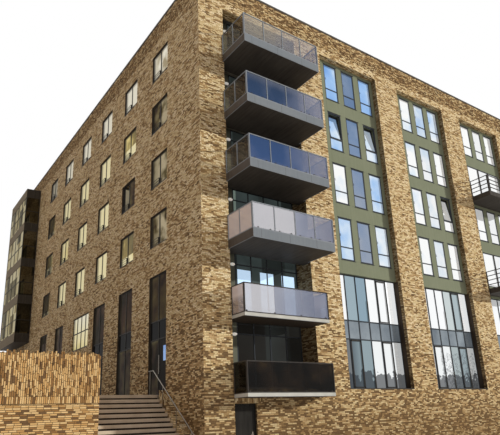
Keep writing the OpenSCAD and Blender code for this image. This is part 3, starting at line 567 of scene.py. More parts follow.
def upper_glass(add, x, z, local, luck, cloud):
    """The painted reflection of the upper windows, by metres along the front and up."""
    pale = add("Math.MULTIPLY_ADD", add("MapRange", x, 8.0, 15.0), 0.42,
               add("Math.MULTIPLY", add("MapRange", z, 18.5, 9.0), 0.36))
    pale = add("Math.MULTIPLY_ADD", add("MapRange", x, 17.5, 20.0), 0.45, pale)
    pale = add("Math.ADD", pale, add("Math.MULTIPLY_ADD", cloud, 1.5,
                                     add("Math.MULTIPLY_ADD", luck, 0.24, -0.72)))
    bright_pane = add("Math.MULTIPLY", between(add, x, 7.9, 9.1), between(add, z, 11.9, 14.6))
    pale = add("Math.MULTIPLY_ADD", bright_pane, 0.55,
               add("Math.MULTIPLY_ADD", add("MapRange", x, 12.5, 14.0), 0.16, pale))
    tint = add("ValToRGB", pale, stops=[(0.0, "78A6E2"), (0.35, "9DC2EE"), (0.65, "D8E6F2"),
                                        (0.9, "F8F9F8")])
    less_dull = add("Math.MULTIPLY", add("MapRange", x, 10.5, 14.0), 0.80)
    dull = add("Math.MULTIPLY", between(add, local, 1.60, 2.95),
               add("Math.SUBTRACT", 0.92, less_dull))
    depth = add("Math.ADD", add("MapRange", z, 9.0, 19.0),
                add("Math.MULTIPLY_ADD", cloud, -1.2, 0.6))
    return add("Mix.RGBA", dull, tint, add("ValToRGB", depth, stops=[
        (0.10, "929AA8"), (0.60, "7286A4"), (0.80, "5C7496")]))


def tall_glass(add, where, x, z, bays, local, storey):
    """The painted reflection of the tall glazed walls, cell by cell."""
    cell = add("Math.FLOOR", add("Math.DIVIDE", local, CELL_W))
    centre = add("Math.MULTIPLY_ADD", add("Math.FLOOR", bays), BAY_PITCH,
                 add("Math.MULTIPLY_ADD", cell, CELL_W, BAY_X[0] + CELL_W / 2))
    luck = chance_of(add, centre, storey, 5.0)
    # A wave 7.75 m long makes the cells grey at 8.95 m and white half a wave on.
    wave = add("Math.COSINE", add("Math.MULTIPLY", add("Math.SUBTRACT", centre, 8.95),
                                  2 * math.pi / 7.75))
    grey = add("Math.ADD", add("Math.MULTIPLY_ADD", wave, 3.6, -2.55),
               add("Math.MULTIPLY_ADD", luck, 0.3, -0.15))
    grey = add("Math.MULTIPLY", grey, add("Math.SUBTRACT", 1.0, add(
        "Math.MULTIPLY", add("MapRange", x, 12.0, 14.0), 0.30)))
    tint = add("ValToRGB", grey, stops=[(0.20, "F8FAFB"), (0.36, "DCE4E4"), (0.60, "B3BFC0"),
                                        (0.95, "8CA3B1")])
    lower_row = add("Math.LESS_THAN", z, LOWER_ROW_TOP)
    tint = add("Mix.RGBA", add("Math.MULTIPLY", lower_row, 0.45), tint, add(
        "Mix.RGBA", add("Math.GREATER_THAN", grey, 0.45), linear("E6EBEA"), linear("7F8D8F")))
    # Painted reflection: fine dark mottling low in the second bay, and a ragged dark foot.
    ragged = add("TexNoise", {"Vector": where, "Scale": 2.6, "Detail": 5.0})
    fine = add("TexNoise", {"Vector": where, "Scale": 9.0, "Detail": 6.0, "Roughness": 0.8})
    mottled = add("Math.MULTIPLY", between(add, x, 14.9, 17.9),
                  add("Math.GREATER_THAN", fine, 0.52))
    mottled = add("Math.MULTIPLY", mottled, add("Math.LESS_THAN", z, add(
        "Math.MULTIPLY_ADD", ragged, 1.6, 4.0)))
    tint = add("Mix.RGBA", add("Math.MULTIPLY", mottled, 0.60), tint, linear("5E6468"))
    foot = add("Math.LESS_THAN", z, add("Math.MULTIPLY_ADD", ragged, 1.9, 2.55))
    tint = add("Mix.RGBA", add("Math.MULTIPLY", foot, 0.80), tint, linear("34383E"))
    # The low cells of the first bay get a painted reflection of the balcony's dark end.
    dim = add("Math.MULTIPLY", lower_row, add("MapRange", x, 9.0, 8.1))
    return add("Mix.RGBA", add("Math.MULTIPLY", dim, 0.85), tint, linear("3B4249"))


print("bays at", BAY_X)

# %% [markdown]
# The windows deep in the balcony recess get a painted reflection of mostly dark
# brick, darkest on the lowest storey. One storey of them has painted light at the
# foot, where light comes in under the balcony above, partly given as glow, and
# one has a pale strip of painted reflection beside the pier.


# %% Recess glass and the front's finish
def recess_glass(add, x, z, luck, cloud):
    """The painted reflection of the windows behind the balconies, and their painted light."""
    dim = add("Math.MULTIPLY_ADD", luck, 0.5, add("Math.MULTIPLY", cloud, 0.6))
    tint = add("ValToRGB", dim, stops=[(0.25, "1D1F1D"), (0.5, "343A38"), (0.8, "54605F")])
    lowest = add("Math.LESS_THAN", z, floor_level(1))
    tint = add("Mix.RGBA", add("Math.MULTIPLY", lowest, 0.75), tint, linear("1F1A16"))
    # Painted light on the foot of one storey, in stripes along the wall.
    lit_stripes = add("Math.SINE", add("Math.MULTIPLY", x, 5.2))
    painted_lit_foot = add("Math.MULTIPLY", between(add, z, floor_level(1), floor_level(1) + 2.0),
                   add("Math.GREATER_THAN", lit_stripes, -0.35))
    tint = add("Mix.RGBA", painted_lit_foot, tint, linear("BFD9F2"))
    side_strip = add("Math.MULTIPLY", between(add, z, floor_level(2), floor_level(3)),
                     add("Math.LESS_THAN", x, 2.4))
    tint = add("Mix.RGBA", add("Math.MULTIPLY", side_strip, 0.75), tint, linear("9DB0A4"))
    return tint, painted_lit_foot


def front_glass():
    """One glass for all the panes of the front."""
    material, add = new_material("coated_front_glass")
    where, (frame_x, frame_y, z), *_ = wall_place(add)
    x = add("Math.SUBTRACT", frame_x, CORNER.x)
    y = add("Math.SUBTRACT", frame_y, CORNER.y)
    bays = add("Math.DIVIDE", add("Math.SUBTRACT", x, BAY_X[0]), BAY_PITCH)
    local = add("Math.MULTIPLY", add("Math.FRACT", bays), BAY_PITCH)
    storey = storey_of(add, z)
    pane = add("Math.FLOOR", add("Math.DIVIDE", add("Math.SUBTRACT", x, BAY_X[0] + 0.2),
                                 WINDOW_PITCH))
    luck = chance_of(add, pane, storey)
    cloud = add("TexNoise", {"Vector": where, "Scale": 0.55, "Detail": 3.0})
    tint = add("Mix.RGBA", add("Math.LESS_THAN", z, CURTAIN_TOP),
               upper_glass(add, x, z, local, luck, cloud),
               tall_glass(add, where, x, z, bays, local, storey))
    recess = add("Math.MULTIPLY", add("Math.GREATER_THAN", y, 0.9),
                 add("Math.LESS_THAN", x, 6.0))
    deep, painted_lit_foot = recess_glass(add, x, z, luck, cloud)
    tint = add("Mix.RGBA", recess, tint, deep)
    # The last cell of a bay faces its dark jamb, so more of its light is painted glow.
    last = add("Math.MULTIPLY", between(add, local, 5 * CELL_W, 6 * CELL_W),
               between(add, z, LOWER_ROW_TOP, CURTAIN_TOP))
    boost = add("Math.MULTIPLY_ADD", last, 0.7, add("Math.MULTIPLY", recess, painted_lit_foot))
    mirror_glass(add, tint, glow=0.45, boost=boost)
    return material


dress(front_glass(), "front_window_glass")
print("front glass done")

# %% [markdown]
# The long side looks the other way, away from the lamp. Its panes are painted:
# the middle columns and the top row pale and warm, and the first and last columns
# dull brown. The recipe says so in metres along the wall. The tall windows at the
# foot are painted darker, all but the wide one, which is the brightest of all. A
# share of each tint is painted glow.

# %% Side glass
SIDE_FIRST, SIDE_PITCH, SIDE_W = 3.07, 3.655, 1.72
TALL_TOP = 8.15


def side_glass():
    """Casement glass of the long sides and the rear: painted tints, partly as glow."""
    material, add = new_material("coated_side_glass")
    where, (frame_x, _, z), along, _, on_side = wall_place(add)
    y = add("Math.SUBTRACT", along, CORNER.y)
    column = add("Math.FLOOR", add("Math.DIVIDE", add("Math.SUBTRACT", y, 2.0), SIDE_PITCH))
    storey = storey_of(add, z)
    luck = chance_of(add, column, storey, on_side)
    above_sill = add("Math.SUBTRACT", z, add("Math.MULTIPLY_ADD", storey, STOREY,
                                             FLOOR_1 + 0.6))
    cloud = add("TexNoise", {"Vector": where, "Scale": 1.1, "Detail": 3.0})
    middle = add("Math.MULTIPLY", add("MapRange", y, 6.0, 10.5), add("MapRange", y, 25.0, 19.0))
    top_row = add("MapRange", z, 17.4, 18.4)
    share = add("Math.MULTIPLY_ADD", luck, 0.55, add("Math.MULTIPLY_ADD", cloud, 0.5, -0.52))
    bright = add("Math.ADD", add("Math.MAXIMUM", middle, top_row), share)
    low_part = add("Math.MULTIPLY", add("Math.LESS_THAN", above_sill, add(
        "Math.MULTIPLY", luck, 0.9)), 0.5)
    bright = add("Math.ADD", bright, add("Math.MULTIPLY", low_part, add(
        "MapRange", y, 4.5, 7.0)))
    tint = add("ValToRGB", bright, stops=[(0.08, "4A4233"), (0.28, "807763"), (0.50, "A0906A"),
                                          (0.62, "EBD797"), (0.85, "FAEEC2")])
    tint = add("Mix.RGBA", add("Math.MULTIPLY", top_row, 0.6), tint, linear("FBF9F6"))
    near = add("Math.MULTIPLY", add("MapRange", y, 4.9, 4.0), add("MapRange", cloud, 0.40, 0.58))
    tint = add("Mix.RGBA", near, tint, linear("B3A68C"))
    far = add("Math.MULTIPLY", add("MapRange", y, 19.5, 21.0), 0.55)
    tint = add("Mix.RGBA", far, tint, linear("2C1D17"))
    low = add("ValToRGB", add("Math.MULTIPLY_ADD", luck, 0.4, add("Math.MULTIPLY", cloud, 0.8)),
              stops=[(0.32, "39342B"), (0.56, "544C3F"), (0.80, "8C8676")])
    low = add("Mix.RGBA", add("Math.MULTIPLY", add("MapRange", z, 5.6, 5.0), 0.7), low,
              linear("171310"))
    wide = add("Math.MULTIPLY", between(add, y, 12.8, 15.8),
               add("Math.MULTIPLY", on_side, add("Math.LESS_THAN", frame_x, 0.0)))
    wide_tint = add("ValToRGB", add("Math.MULTIPLY_ADD", above_sill, 0.3, add(
        "Math.MULTIPLY", cloud, 0.6)), stops=[(0.16, "E4D498"), (0.36, "FFF2C4"),
                                              (0.8, "FFFAE4")])
    low = add("Mix.RGBA", wide, low, wide_tint)
    tint = add("Mix.RGBA", add("Math.LESS_THAN", z, TALL_TOP), tint, low)
    # A share of the tint is painted glow.
    mirror_glass(add, tint, glow=0.30, rim="9A968A")
    return material


dress(side_glass(), "casement_glass")
print("side glass done")

# %% [markdown]
# The glazed tower of loggias beside the long side has bronze-tinted panes, 1.285 m
# wide and half a storey high. Each pane gets a random painted reflection between
# dark brown and cream, and the end towards the front, which faces dark things,
# gets a nearly black painted reflection.


# %% Stack glass
def stack_glass():
    """Bronze-tinted glass of the loggia tower, with painted reflections."""
    material, add = new_material("brown_stack_glass")
    where, _, along, high, on_side = wall_place(add)
    pane = chance_of(add, add("Math.FLOOR", add("Math.DIVIDE", along, 1.285)),
                     add("Math.FLOOR", add("Math.DIVIDE", high, STOREY / 2)), on_side)
    cloud = add("TexNoise", {"Vector": where, "Scale": 0.8, "Detail": 3.0})
    share = add("Math.MULTIPLY_ADD", pane, 0.7, add("Math.MULTIPLY", cloud, 0.5))
    tint = add("ValToRGB", share, stops=[(0.22, "2E2C25"), (0.38, "655B45"), (0.56, "A09068"),
                                         (0.68, "D8C796"), (0.82, "F7EDCB")])
    end = add("Mix.RGBA", 0.88, tint, linear("2B2D2C"))
    mirror_glass(add, add("Mix.RGBA", on_side, end, tint), rim="A8A394")
    return material


dress(stack_glass(), "stack_glass")
print("stack glass done")

# %% [markdown]
# Between the two rows of the tall glazed walls lie panes of opaque glass with a
# grey enamel baked on the back. They are softer mirrors than the windows, because
# the enamel scatters light. Their grey is partly enamel and partly a painted
# reflection, with a share given as painted glow, and on the shaded long sides they
# are painted almost black as shade.

# %% Enamelled panes
spandrel_glass, add = new_material("enamelled_spandrel_glass")
where, (_, y, _), *_ = wall_place(add)
cloud = add("TexNoise", {"Vector": where, "Scale": 0.9, "Detail": 3.0})
off_front = add("Math.GREATER_THAN", add("Math.SUBTRACT", y, CORNER.y), 1.0)
# On the long sides the panes are painted almost black as shade.
enamel_and_painted_shade = add("Mix.RGBA", off_front,
             add("ValToRGB", cloud, stops=[(0.3, "727B83"), (0.7, "99A2A8")]),
             add("ValToRGB", cloud, stops=[(0.3, "1A1918"), (0.7, "242220")]))
mirror_glass(add, enamel_and_painted_shade, metallic=0.8, rough=0.12, glow=0.35, rim="77787A")
dress(spandrel_glass, "spandrel_panels")
print("enamelled panes done")

# %% [markdown]
# Railing glass is laminated and thinner, and the deck and the rooms show through
# it. Its tint is a painted reflection of its surroundings, as on the windows: pale
# low down, deep blue two floors from the top, and nearly clear on the top balcony,
# seen from below. One ramp over the height says so, and the far end turns to a
# plain blue grey. Some panes low down look paler, as where a blind hangs behind
# them, and a random number of each pane picks which. The short ends are clearer
# still, and the two lowest get painted glow where the sun shines through them. Real
# glass passes most of the sun even where it mirrors, so the shadow rays see a
# clearer pane than the camera does.

# %% Railing panes
BLOCK_H = 22.0
# The first pane's edge and the width of a pane, on the deep balconies and on the
# shallow one. Then how far a deck hangs under the floor of its storey, and the
# share of the low panes that look paler.
RAIL_X, RAIL_PANE = 1.27, (4.30 - 0.04) / 4
LOW_RAIL_X, LOW_RAIL_PANE = 1.357, 1.432
DECK_DROP, PALE_PANES = 0.6, 0.55
print("railing panes of %.3f and %.3f m" % (RAIL_PANE, LOW_RAIL_PANE))


# %% Railing glass
def sunlit_alpha(add, alpha):
    """The same glass, but clearer to the rays that make shadows."""
    shadow = add("LightPath").outputs["Is Shadow Ray"]
    return add("Math.MULTIPLY", alpha, add("Math.MULTIPLY_ADD", shadow, -0.62, 1.0))


def rail_alpha(add, x, share, on_side):
    """How much of the railing glass shows, by its height up the block."""
    front = add("ValToRGB", share, stops=[(0.27, 0.72), (0.42, 0.74), (0.54, 0.86), (0.66, 0.88),
                                          (0.74, 0.80), (0.80, 0.42)])
    front = add("Math.MULTIPLY", front, add("Math.SUBTRACT", 1.0, add(
        "Math.MULTIPLY", add("MapRange", x, 3.6, 5.2), 0.34)))
    end = add("ValToRGB", share, stops=[(0.28, 0.78), (0.45, 0.76), (0.52, 0.28)])
    return add("Mix.FLOAT", on_side, front, end)


def rail_glass(name, first, width):
    """Laminated glass of a grey railing, with painted reflections, by its first
    pane's edge and a pane's width.
    """
    material, add = new_material(name)
    where, (frame_x, _, z), _, _, on_side = wall_place(add)
    x = add("Math.SUBTRACT", frame_x, CORNER.x)
    share = add("Math.DIVIDE", z, BLOCK_H)
    cloud = add("TexNoise", {"Vector": where, "Scale": 0.7, "Detail": 3.0})
    tint = add("ValToRGB", share, stops=[(0.46, "A8ACBA"), (0.54, "38527E"), (0.70, "2A4060"),
                                         (0.80, "A49E94")])
    turn = add("Math.ADD", add("MapRange", x, 2.9, 5.2),
               add("Math.MULTIPLY_ADD", cloud, 1.2, -0.6))
    tint = add("Mix.RGBA", turn, tint, linear("848CA4"))
    pane = add("Math.FLOOR", add("Math.DIVIDE", add("Math.SUBTRACT", x, first), width))
    luck = chance_of(add, pane, storey_of(add, add("Math.ADD", z, DECK_DROP)))
    pale = add("Math.MULTIPLY", add("Math.LESS_THAN", luck, PALE_PANES),
               add("MapRange", share, 0.52, 0.44))
    tint = add("Mix.RGBA", add("Math.MULTIPLY", pale, 0.7), tint, linear("DCDADC"))
    end = add("ValToRGB", share, stops=[(0.44, "B0A4A0"), (0.50, "746C65")])
    # The two lowest short ends get painted glow where the sun shines through them.
    lit = add("Math.MULTIPLY", on_side, add("MapRange", share, 0.49, 0.46))
    lit = add("Math.MULTIPLY", lit, add("Math.MAXIMUM", add("MapRange", z, 5.95, 6.35), 0.3))
    add("OutputMaterial", add("BsdfPrincipled", {
        "Base Color": add("Mix.RGBA", on_side, tint, end),
        "Emission Color": add("Mix.RGBA", lit, linear("000000"), end), "Emission Strength": 0.33,
        "Metallic": add("Math.MULTIPLY_ADD", lit, -0.55, 0.8), "Roughness": 0.05,
        "Alpha": sunlit_alpha(add, rail_alpha(add, x, share, on_side))}))
    return material


dress(rail_glass("laminated_rail_glass", RAIL_X, RAIL_PANE), "balcony_glass")
dress(rail_glass("lower_rail_glass", LOW_RAIL_X, LOW_RAIL_PANE), "clear_balcony_glass")
print("grey railing glass done")

# %% [markdown]
# The lowest balcony has dark brown glass, tinted through. It is dyed rather than
# coated, so it mirrors little and takes most of what comes from behind. The lamps
# on the wall are opal glass: milky, a little translucent, and faintly alight.

# %% Tinted glass and opal glass
tinted_glass, add = new_material("brown_tinted_glass")
where = add("TexCoord").outputs["Object"]
cloud = add("TexNoise", {"Vector": where, "Scale": 1.2, "Detail": 4.0})
dye = add("ValToRGB", cloud, stops=[(0.38, "060402"), (0.56, "1B130B"), (0.70, "362A18")])
add("OutputMaterial", add("BsdfPrincipled", {
    "Base Color": dye, "Metallic": 0.35, "Roughness": 0.08, "Specular IOR Level": 0.22,
    "Alpha": sunlit_alpha(add, add("Math.MULTIPLY_ADD", cloud, 0.10, 0.72))}))
dress(tinted_glass, "tinted_balcony_glass")

opal_glass, add = new_material("opal_lamp_glass")
where = add("TexCoord").outputs["Object"]
milk = add("TexNoise", {"Vector": where, "Scale": 30.0, "Detail": 2.0})
add("OutputMaterial", add("BsdfPrincipled", {
    "Base Color": add("ValToRGB", milk, stops=[(0.3, "E4E1D8"), (0.7, "F4F2EC")]),
    "Roughness": 0.25, "Subsurface Weight": 0.2, "Emission Color": linear("F2EEE4"),
    "Emission Strength": 0.35}))
dress(opal_glass, "wall_lamps")
print("tinted and opal glass done")

# %% [markdown]
# ## Small pieces in mesh code
# The solids of the frame carry the large forms. What follows is the trim that
# the eye expects on them. Modifiers could make it piece by piece, but all of it
# is closed shapes, and plain lists of points and faces are quick for thousands of
# bricks. A few helpers are enough: a block between two corners, the same block
# given along a wall, and an outline drawn out along a line for folded sheet. Each
# piece rides on its body and names its finish.


# %% Shapes
def block(low, high):
    """The points and faces of a block between two corners."""
    points = list(product(*zip(low, high)))
    return points, [(0, 1, 3, 2), (4, 6, 7, 5), (0, 4, 5, 1), (2, 3, 7, 6), (0, 2, 6, 4),
                    (1, 5, 7, 3)]


def wall_block(axis, along, across, upward):
    """A block from its spans along a wall that runs in X (0) or Y (1), across and up."""
    spans = (along, across, upward) if axis == 0 else (across, along, upward)
    return block(*zip(*spans))


def drawn_out(outline, axis, start, end):
    """A closed outline, given in the two other axes in turn, drawn out along one axis."""
    def spot(pair, value):
        return {0: (value, *pair), 1: (pair[0], value, pair[1]), 2: (*pair, value)}[axis]
    count = len(outline)
    points = [spot(pair, value) for value in (start, end) for pair in outline]
    faces = [tuple(range(count)), tuple(range(2 * count - 1, count - 1, -1))]
    faces += [(k, k + count, (k + 1) % count + count, (k + 1) % count) for k in range(count)]
    return points, faces


def lifted(outline, height):
    """An outline with its second measure raised."""
    return [(across, high + height) for across, high in outline]


def ring_of_bars(span_x, span_z, width_x, width_z):
    """The spans, in x and z, of two upright and two level bars round an opening."""
    (x0, x1), (z0, z1) = span_x, span_z
    return [((x0, x0 + width_x), span_z), ((x1 - width_x, x1), span_z),
            (span_x, (z0, z0 + width_z[0])), (span_x, (z1 - width_z[1], z1))]


print("a block has", len(block((0, 0, 0), (1, 1, 1))[1]), "faces")


# %% Joined pieces
def piece(name, finish, parts, body="building", soften=0.0):
    """Joins closed shapes, in corner measures, to one mesh that rides on a body."""
    points, faces = [], []
    for some_points, some_faces in parts:
        start = len(points)
        points += [at(*point) for point in some_points]
        faces += [tuple(start + k for k in face) for face in some_faces]
    mesh = bpy.data.meshes.new(name)
    mesh.from_pydata(points, [], faces)
    shape = bmesh.new()
    shape.from_mesh(mesh)
    if soften:
        bmesh.ops.bevel(shape, geom=shape.edges[:], offset=soften, segments=1,
                        affect="EDGES", profile=0.7)
    bmesh.ops.recalc_face_normals(shape, faces=shape.faces[:])
    shape.to_mesh(mesh)
    shape.free()
    mesh.materials.append(finish)
    made = bpy.data.objects.new(name, mesh)
    bpy.context.collection.objects.link(made)
    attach(made, body)
    print(name, "has", len(parts), "shapes")
    return made


# %% [markdown]
# ## Roof edge
# The coping is pressed metal in lengths of about three metres, laid with a small
# fall to the roof, folded down over both faces of the wall and kicked out at the
# foot as a drip. A thin strap covers each joint. One outline drawn out along the
# wall makes both, because the strap is the same outline grown by 3 mm.

# %% Coping
COPE_OUT, COPE_END = 0.03, 0.026
COPE_LENGTH, COPE_GAP, STRAP_HALF, STRAP_T = 3.0, 0.003, 0.05, 0.003
DRIP = ((0.012, 0.004), (0.012, 0.02), (0.004, 0.03))


def coping_section(low, high, strap=0.0):
    """The outline across a wall between two faces, drip to drip."""
    near, far = low - COPE_OUT - strap, high + COPE_OUT + strap
    outline = [(near + inset, rise) for inset, rise in DRIP]
    outline += [(near + 0.004, 0.108 + strap), (far - 0.004, 0.098 + strap)]
    outline += [(far - inset, rise) for inset, rise in reversed(DRIP)]
    return lifted(outline, WALL_TOP)


long_run = (-COPE_END, FRONT_L + COPE_END)
short_run = (FRONT_T + 0.04, SIDE_L - WALL_T - 0.04)
coping = []
for axis, low, high, (start, end) in (
        (0, 0.0, FRONT_T, long_run), (0, SIDE_L - WALL_T, SIDE_L, long_run),
        (1, 0.0, WALL_T, short_run), (1, FRONT_L - WALL_T, FRONT_L, short_run)):
    count = round((end - start) / COPE_LENGTH)
    step = (end - start) / count
    for k in range(count):
        joint = start + k * step
        coping.append(drawn_out(coping_section(low, high), axis, joint + COPE_GAP,
                                joint + step - COPE_GAP))
        if k:
            coping.append(drawn_out(coping_section(low, high, STRAP_T), axis,
                                    joint - STRAP_HALF, joint + STRAP_HALF))
coping_piece = piece("coping_lengths", METALS["roof_coping"], coping)
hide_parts("roof_coping")

# %% [markdown]
# Under the coping runs a band of fifteen courses in which half of the headers
# stand out from the wall by 22 mm, so that the sun throws small shadows. Bump
# wouldn't throw them, so each header is a block, kept or left out by one seeded
# draw, and its place agrees with the material's courses. The band and its headers
# are also drawn darker, partly as darker clay and partly as painted shade.

# %% Headers in the relief band
HEADER, HEADER_OUT, HEADER_SHARE = 0.102, 0.022, 0.50
draw = random.Random(20)
headers = []
for axis, face, outward, end in ((0, 0.0, -1, FRONT_L), (0, SIDE_L, 1, FRONT_L),
                                 (1, 0.0, -1, SIDE_L), (1, FRONT_L, 1, SIDE_L)):
    across = sorted((face, face + HEADER_OUT * outward))
    for row in range(15):
        low = RELIEF_FOOT + 0.0125 + row * BRICK_COURSE
        along = (BRICK_LONG / 2 if row % 2 else 0.0) + 0.006
        while along + HEADER < end:
            if draw.random() < HEADER_SHARE:
                headers.append(wall_block(axis, (along, along + HEADER), across,
                                          (low + 0.006, low + 0.056)))
            along += BRICK_LONG
piece("relief_headers", header_brick, headers)

# %% [markdown]
# ## Podium bricks
# The upper part of the podium wall is laid with bricks on end. The last row
# stops at uneven heights, like teeth, and over the field every few bricks stand
# out a little. The teeth sit on the solid wall, and the raised ones on its front
# face, each cut to the same 220 mm module as the material's bricks.

# %% Upright bricks of the podium
PODIUM_TOP, PODIUM_X, STAIR_X = 3.855, -8.0, -3.9
draw = random.Random(7)
teeth = []
for axis, low, high, face in ((0, PODIUM_X, STAIR_X, 0.002), (1, 0.42, 32.3, PODIUM_X + 0.002),
                              (1, 0.42, 3.14, STAIR_X - 0.104)):
    along = low + 0.006
    while along + 0.05 < high:
        top = PODIUM_TOP + draw.choice((0.01, 0.03, 0.05, 0.07, 0.10))
        teeth.append(wall_block(axis, (along, along + BRICK_THICK), (face, face + 0.1),
                                (PODIUM_TOP, top)))
        along += BRICK_COURSE
piece("podium_teeth", podium_brick, teeth)
raised = []
along = PODIUM_X + 0.006
while along + 0.05 < STAIR_X:
    foot = UPRIGHT_FOOT + 0.01 + draw.choice((0.0, 0.11))
    while foot + 0.208 < PODIUM_TOP:
        if draw.random() < 0.36:
            raised.append(block((along, -0.016, foot), (along + BRICK_THICK, 0.0, foot + 0.208)))
        foot += BRICK_LONG
    along += BRICK_COURSE
piece("raised_podium_bricks", podium_brick, raised)

# %% [markdown]
# ## Window trim
# Each clad bay has a folded flashing over its windows and a sill strip under
# them, dark lines that catch the eye before the frames do. Folded sheet is an
# outline drawn out along the wall. Two of the last bay's storeys have balcony
# doors instead, with a broad stile and a pull.

# %% Bay flashings, sills and handles
WINDOW_W, WINDOW_AT = 0.93, (0.53, 1.86, 3.19)
FRAME_Y = 0.300
HOOD = ((FRAME_Y, 2.20), (FRAME_Y, 2.235), (0.280, 2.222), (0.280, 2.205))
SILL = ((FRAME_Y, -0.030), (FRAME_Y, -0.004), (0.276, -0.016), (0.276, -0.030))
DOOR_STOREYS = (2, 4)
strips, opening_marks = [], []
for x0 in BAY_X:
    for storey in (2, 3, 4, 5):
        low = floor_level(storey) + 0.05
        if x0 == BAY_X[-1] and storey in DOOR_STOREYS:
            continue
        for x in (x0 + shift for shift in WINDOW_AT):
            strips.append(drawn_out(lifted(HOOD, low), 0, x - 0.02, x + WINDOW_W + 0.05))
            strips.append(drawn_out(lifted(SILL, low), 0, x - 0.015, x + WINDOW_W + 0.03))
            opening_marks.append(block((x + 0.075, 0.296, low + 1.20),
                                       (x + 0.095, 0.308, low + 1.34)))
for storey in DOOR_STOREYS:
    low = floor_level(storey) + 0.05
    for x in (21.56, 22.72):
        opening_marks.append(block((x, 0.296, low), (x + 0.11, 0.330, low + 2.20)))
        opening_marks.append(block((x - 0.03, 0.270, low + 0.95), (x - 0.01, FRAME_Y, low + 1.25)))
piece("balcony_door_stiles", casement_metal, opening_marks)
piece("bay_flashings", window_metal, strips)

# %% [markdown]
# The tall glazed walls have a pressed cap on every mullion, and opening lights
# with a thicker dark frame in the second and the fifth cell. Thin sheet closes
# their jambs, and its dark brown is painted shade, which turns the brick edge
# into a crisp dark line.

# %% Caps and opening lights of the tall glazed walls
FOOT, HEAD = 2.84, 8.22
BACK_Y, CAP_Y, LIGHT_Y = 0.450, 0.430, 0.428
BAR, STAY_FOOT = 0.045, 2.90
caps, lights, jambs = [], [], []
for x0 in BAY_X:
    for k in range(1, 6):
        x = x0 + k * CELL_W
        for low, top in ((FOOT, 5.094), (6.026, HEAD)):
            caps.append(block((x - 0.009, CAP_Y, low), (x + 0.009, BACK_Y, top)))
        if k in (3, 5):
            for low, top in ((6.04, 7.05), (STAY_FOOT, 3.75)):
                lights.append(block((x - 0.055, 0.424, low), (x + 0.012, BACK_Y, top)))
    for z in (5.12, 6.00):
        outline = [(BACK_Y, -0.026), (BACK_Y, 0.026), (0.424, 0.016), (0.424, -0.026)]
        caps.append(drawn_out(lifted(outline, z), 0, x0 + 0.03, x0 + BAY_W - 0.03))
    for cell, spans in ((1, [(STAY_FOOT, 5.08)]), (4, [(STAY_FOOT, 5.08), (6.04, 8.17)])):
        width = (x0 + cell * CELL_W + 0.026, x0 + (cell + 1) * CELL_W - 0.026)
        for span in spans:
            lights += [wall_block(0, along, (LIGHT_Y, 0.452), upward)
                       for along, upward in ring_of_bars(width, span, BAR, (BAR, 0.06))]
    for x in (x0, x0 + BAY_W - 0.006):
        jambs.append(block((x, 0.20, FOOT), (x + 0.006, 0.452, HEAD)))
piece("mullion_caps", window_metal, caps)
piece("opening_light_frames", casement_metal, lights)
# The jamb sheet's dark brown is painted shade.
jamb_shade_finish = coated_metal("jamb_sheet_painted_shade", "2B2017", 0.70, 0.06, shine=0.04)
piece("jamb_closers", jamb_shade_finish, jambs)

# %% [markdown]
# The brick window reveals of the long sides are lined with thin dark sheet on the
# head and both jambs. The sheet's dark colour is painted shade, which is why their
# openings read as dark edged. Sheets 4 mm thick, set 4 mm behind the brick face,
# give that edge its shadow too.

# %% Linings of the brick window reveals
REVEAL, SHEET = 0.068, 0.004
SILL_UP, HEAD_UP = 0.63, 2.2
COLUMNS, WIDE_COLUMN = {0.0: 6, FRONT_L: 8}, 3
linings = []
for face, columns in COLUMNS.items():
    inward = 1 if face == 0.0 else -1
    across = sorted((face + inward * SHEET, face + inward * REVEAL))
    for k in range(columns):
        start = SIDE_FIRST + k * SIDE_PITCH
        end = start + SIDE_W
        spans = [(floor_level(storey) + SILL_UP, floor_level(storey) + HEAD_UP)
                 for storey in (2, 3, 4, 5)]
        if not (face == 0.0 and k == WIDE_COLUMN):
            spans.append((TERRACE + 0.03, floor_level(1) + HEAD_UP))
        for low, top in spans:
            for along, upward in (((start, start + SHEET), (low, top)),
                                  ((end - SHEET, end), (low, top)),
                                  ((start, end), (top - SHEET, top))):
                linings.append(wall_block(1, along, across, upward))
# The sheet's dark brown is painted shade in the reveals.
reveal_shade_finish = coated_metal("dark_reveal_sheet_painted_shade", "3B3024", 0.60, 0.06, shine=0.08)
piece("reveal_linings", reveal_shade_finish, linings)

# %% [markdown]
# ## Doors
# The street door is a flush steel door with a pressed edge, a kick plate and a
# lever on a plate. A row of soldier bricks, which stand on end, lies over it. The
# pieces on the leaf ride on the leaf's body, so they swing with it, and bevels of
# 1 to 2 mm take the sharpness off what a hand touches.

# %% Street door
LEAF_X, LEAF_Y = (1.3725, 2.2675), 0.100


def on_leaf(x0, x1, out, back, upward):
    """A block between two places across the leaf, from out to back of its face."""
    return wall_block(0, (x0, x1), (LEAF_Y - out, LEAF_Y - back), upward)


left, far = LEAF_X
edge = [on_leaf(left + 0.02, far - 0.02, 0.004, 0.0, span) for span in ((0.16, 0.20), (2.14, 2.18))]
edge += [on_leaf(x, x + 0.04, 0.004, 0.0, (0.20, 2.14)) for x in (left + 0.02, far - 0.06)]
piece("street_door_edging", door_metal, edge, "street_leaf", 0.001)
kick = [on_leaf(left + 0.07, far - 0.07, 0.003, 0.0, (0.22, 0.42))]
piece("street_door_kick_plate", brushed_steel, kick, "street_leaf", 0.001)
grip = [on_leaf(far - 0.125, far - 0.080, 0.008, 0.0, (1.00, 1.24)),
        on_leaf(far - 0.110, far - 0.094, 0.055, 0.008, (1.135, 1.151)),
        on_leaf(far - 0.230, far - 0.094, 0.060, 0.044, (1.135, 1.153)),
        on_leaf(far - 0.112, far - 0.092, 0.012, 0.008, (1.04, 1.075))]
piece("street_door_lever", brushed_steel, grip, "street_leaf", 0.002)
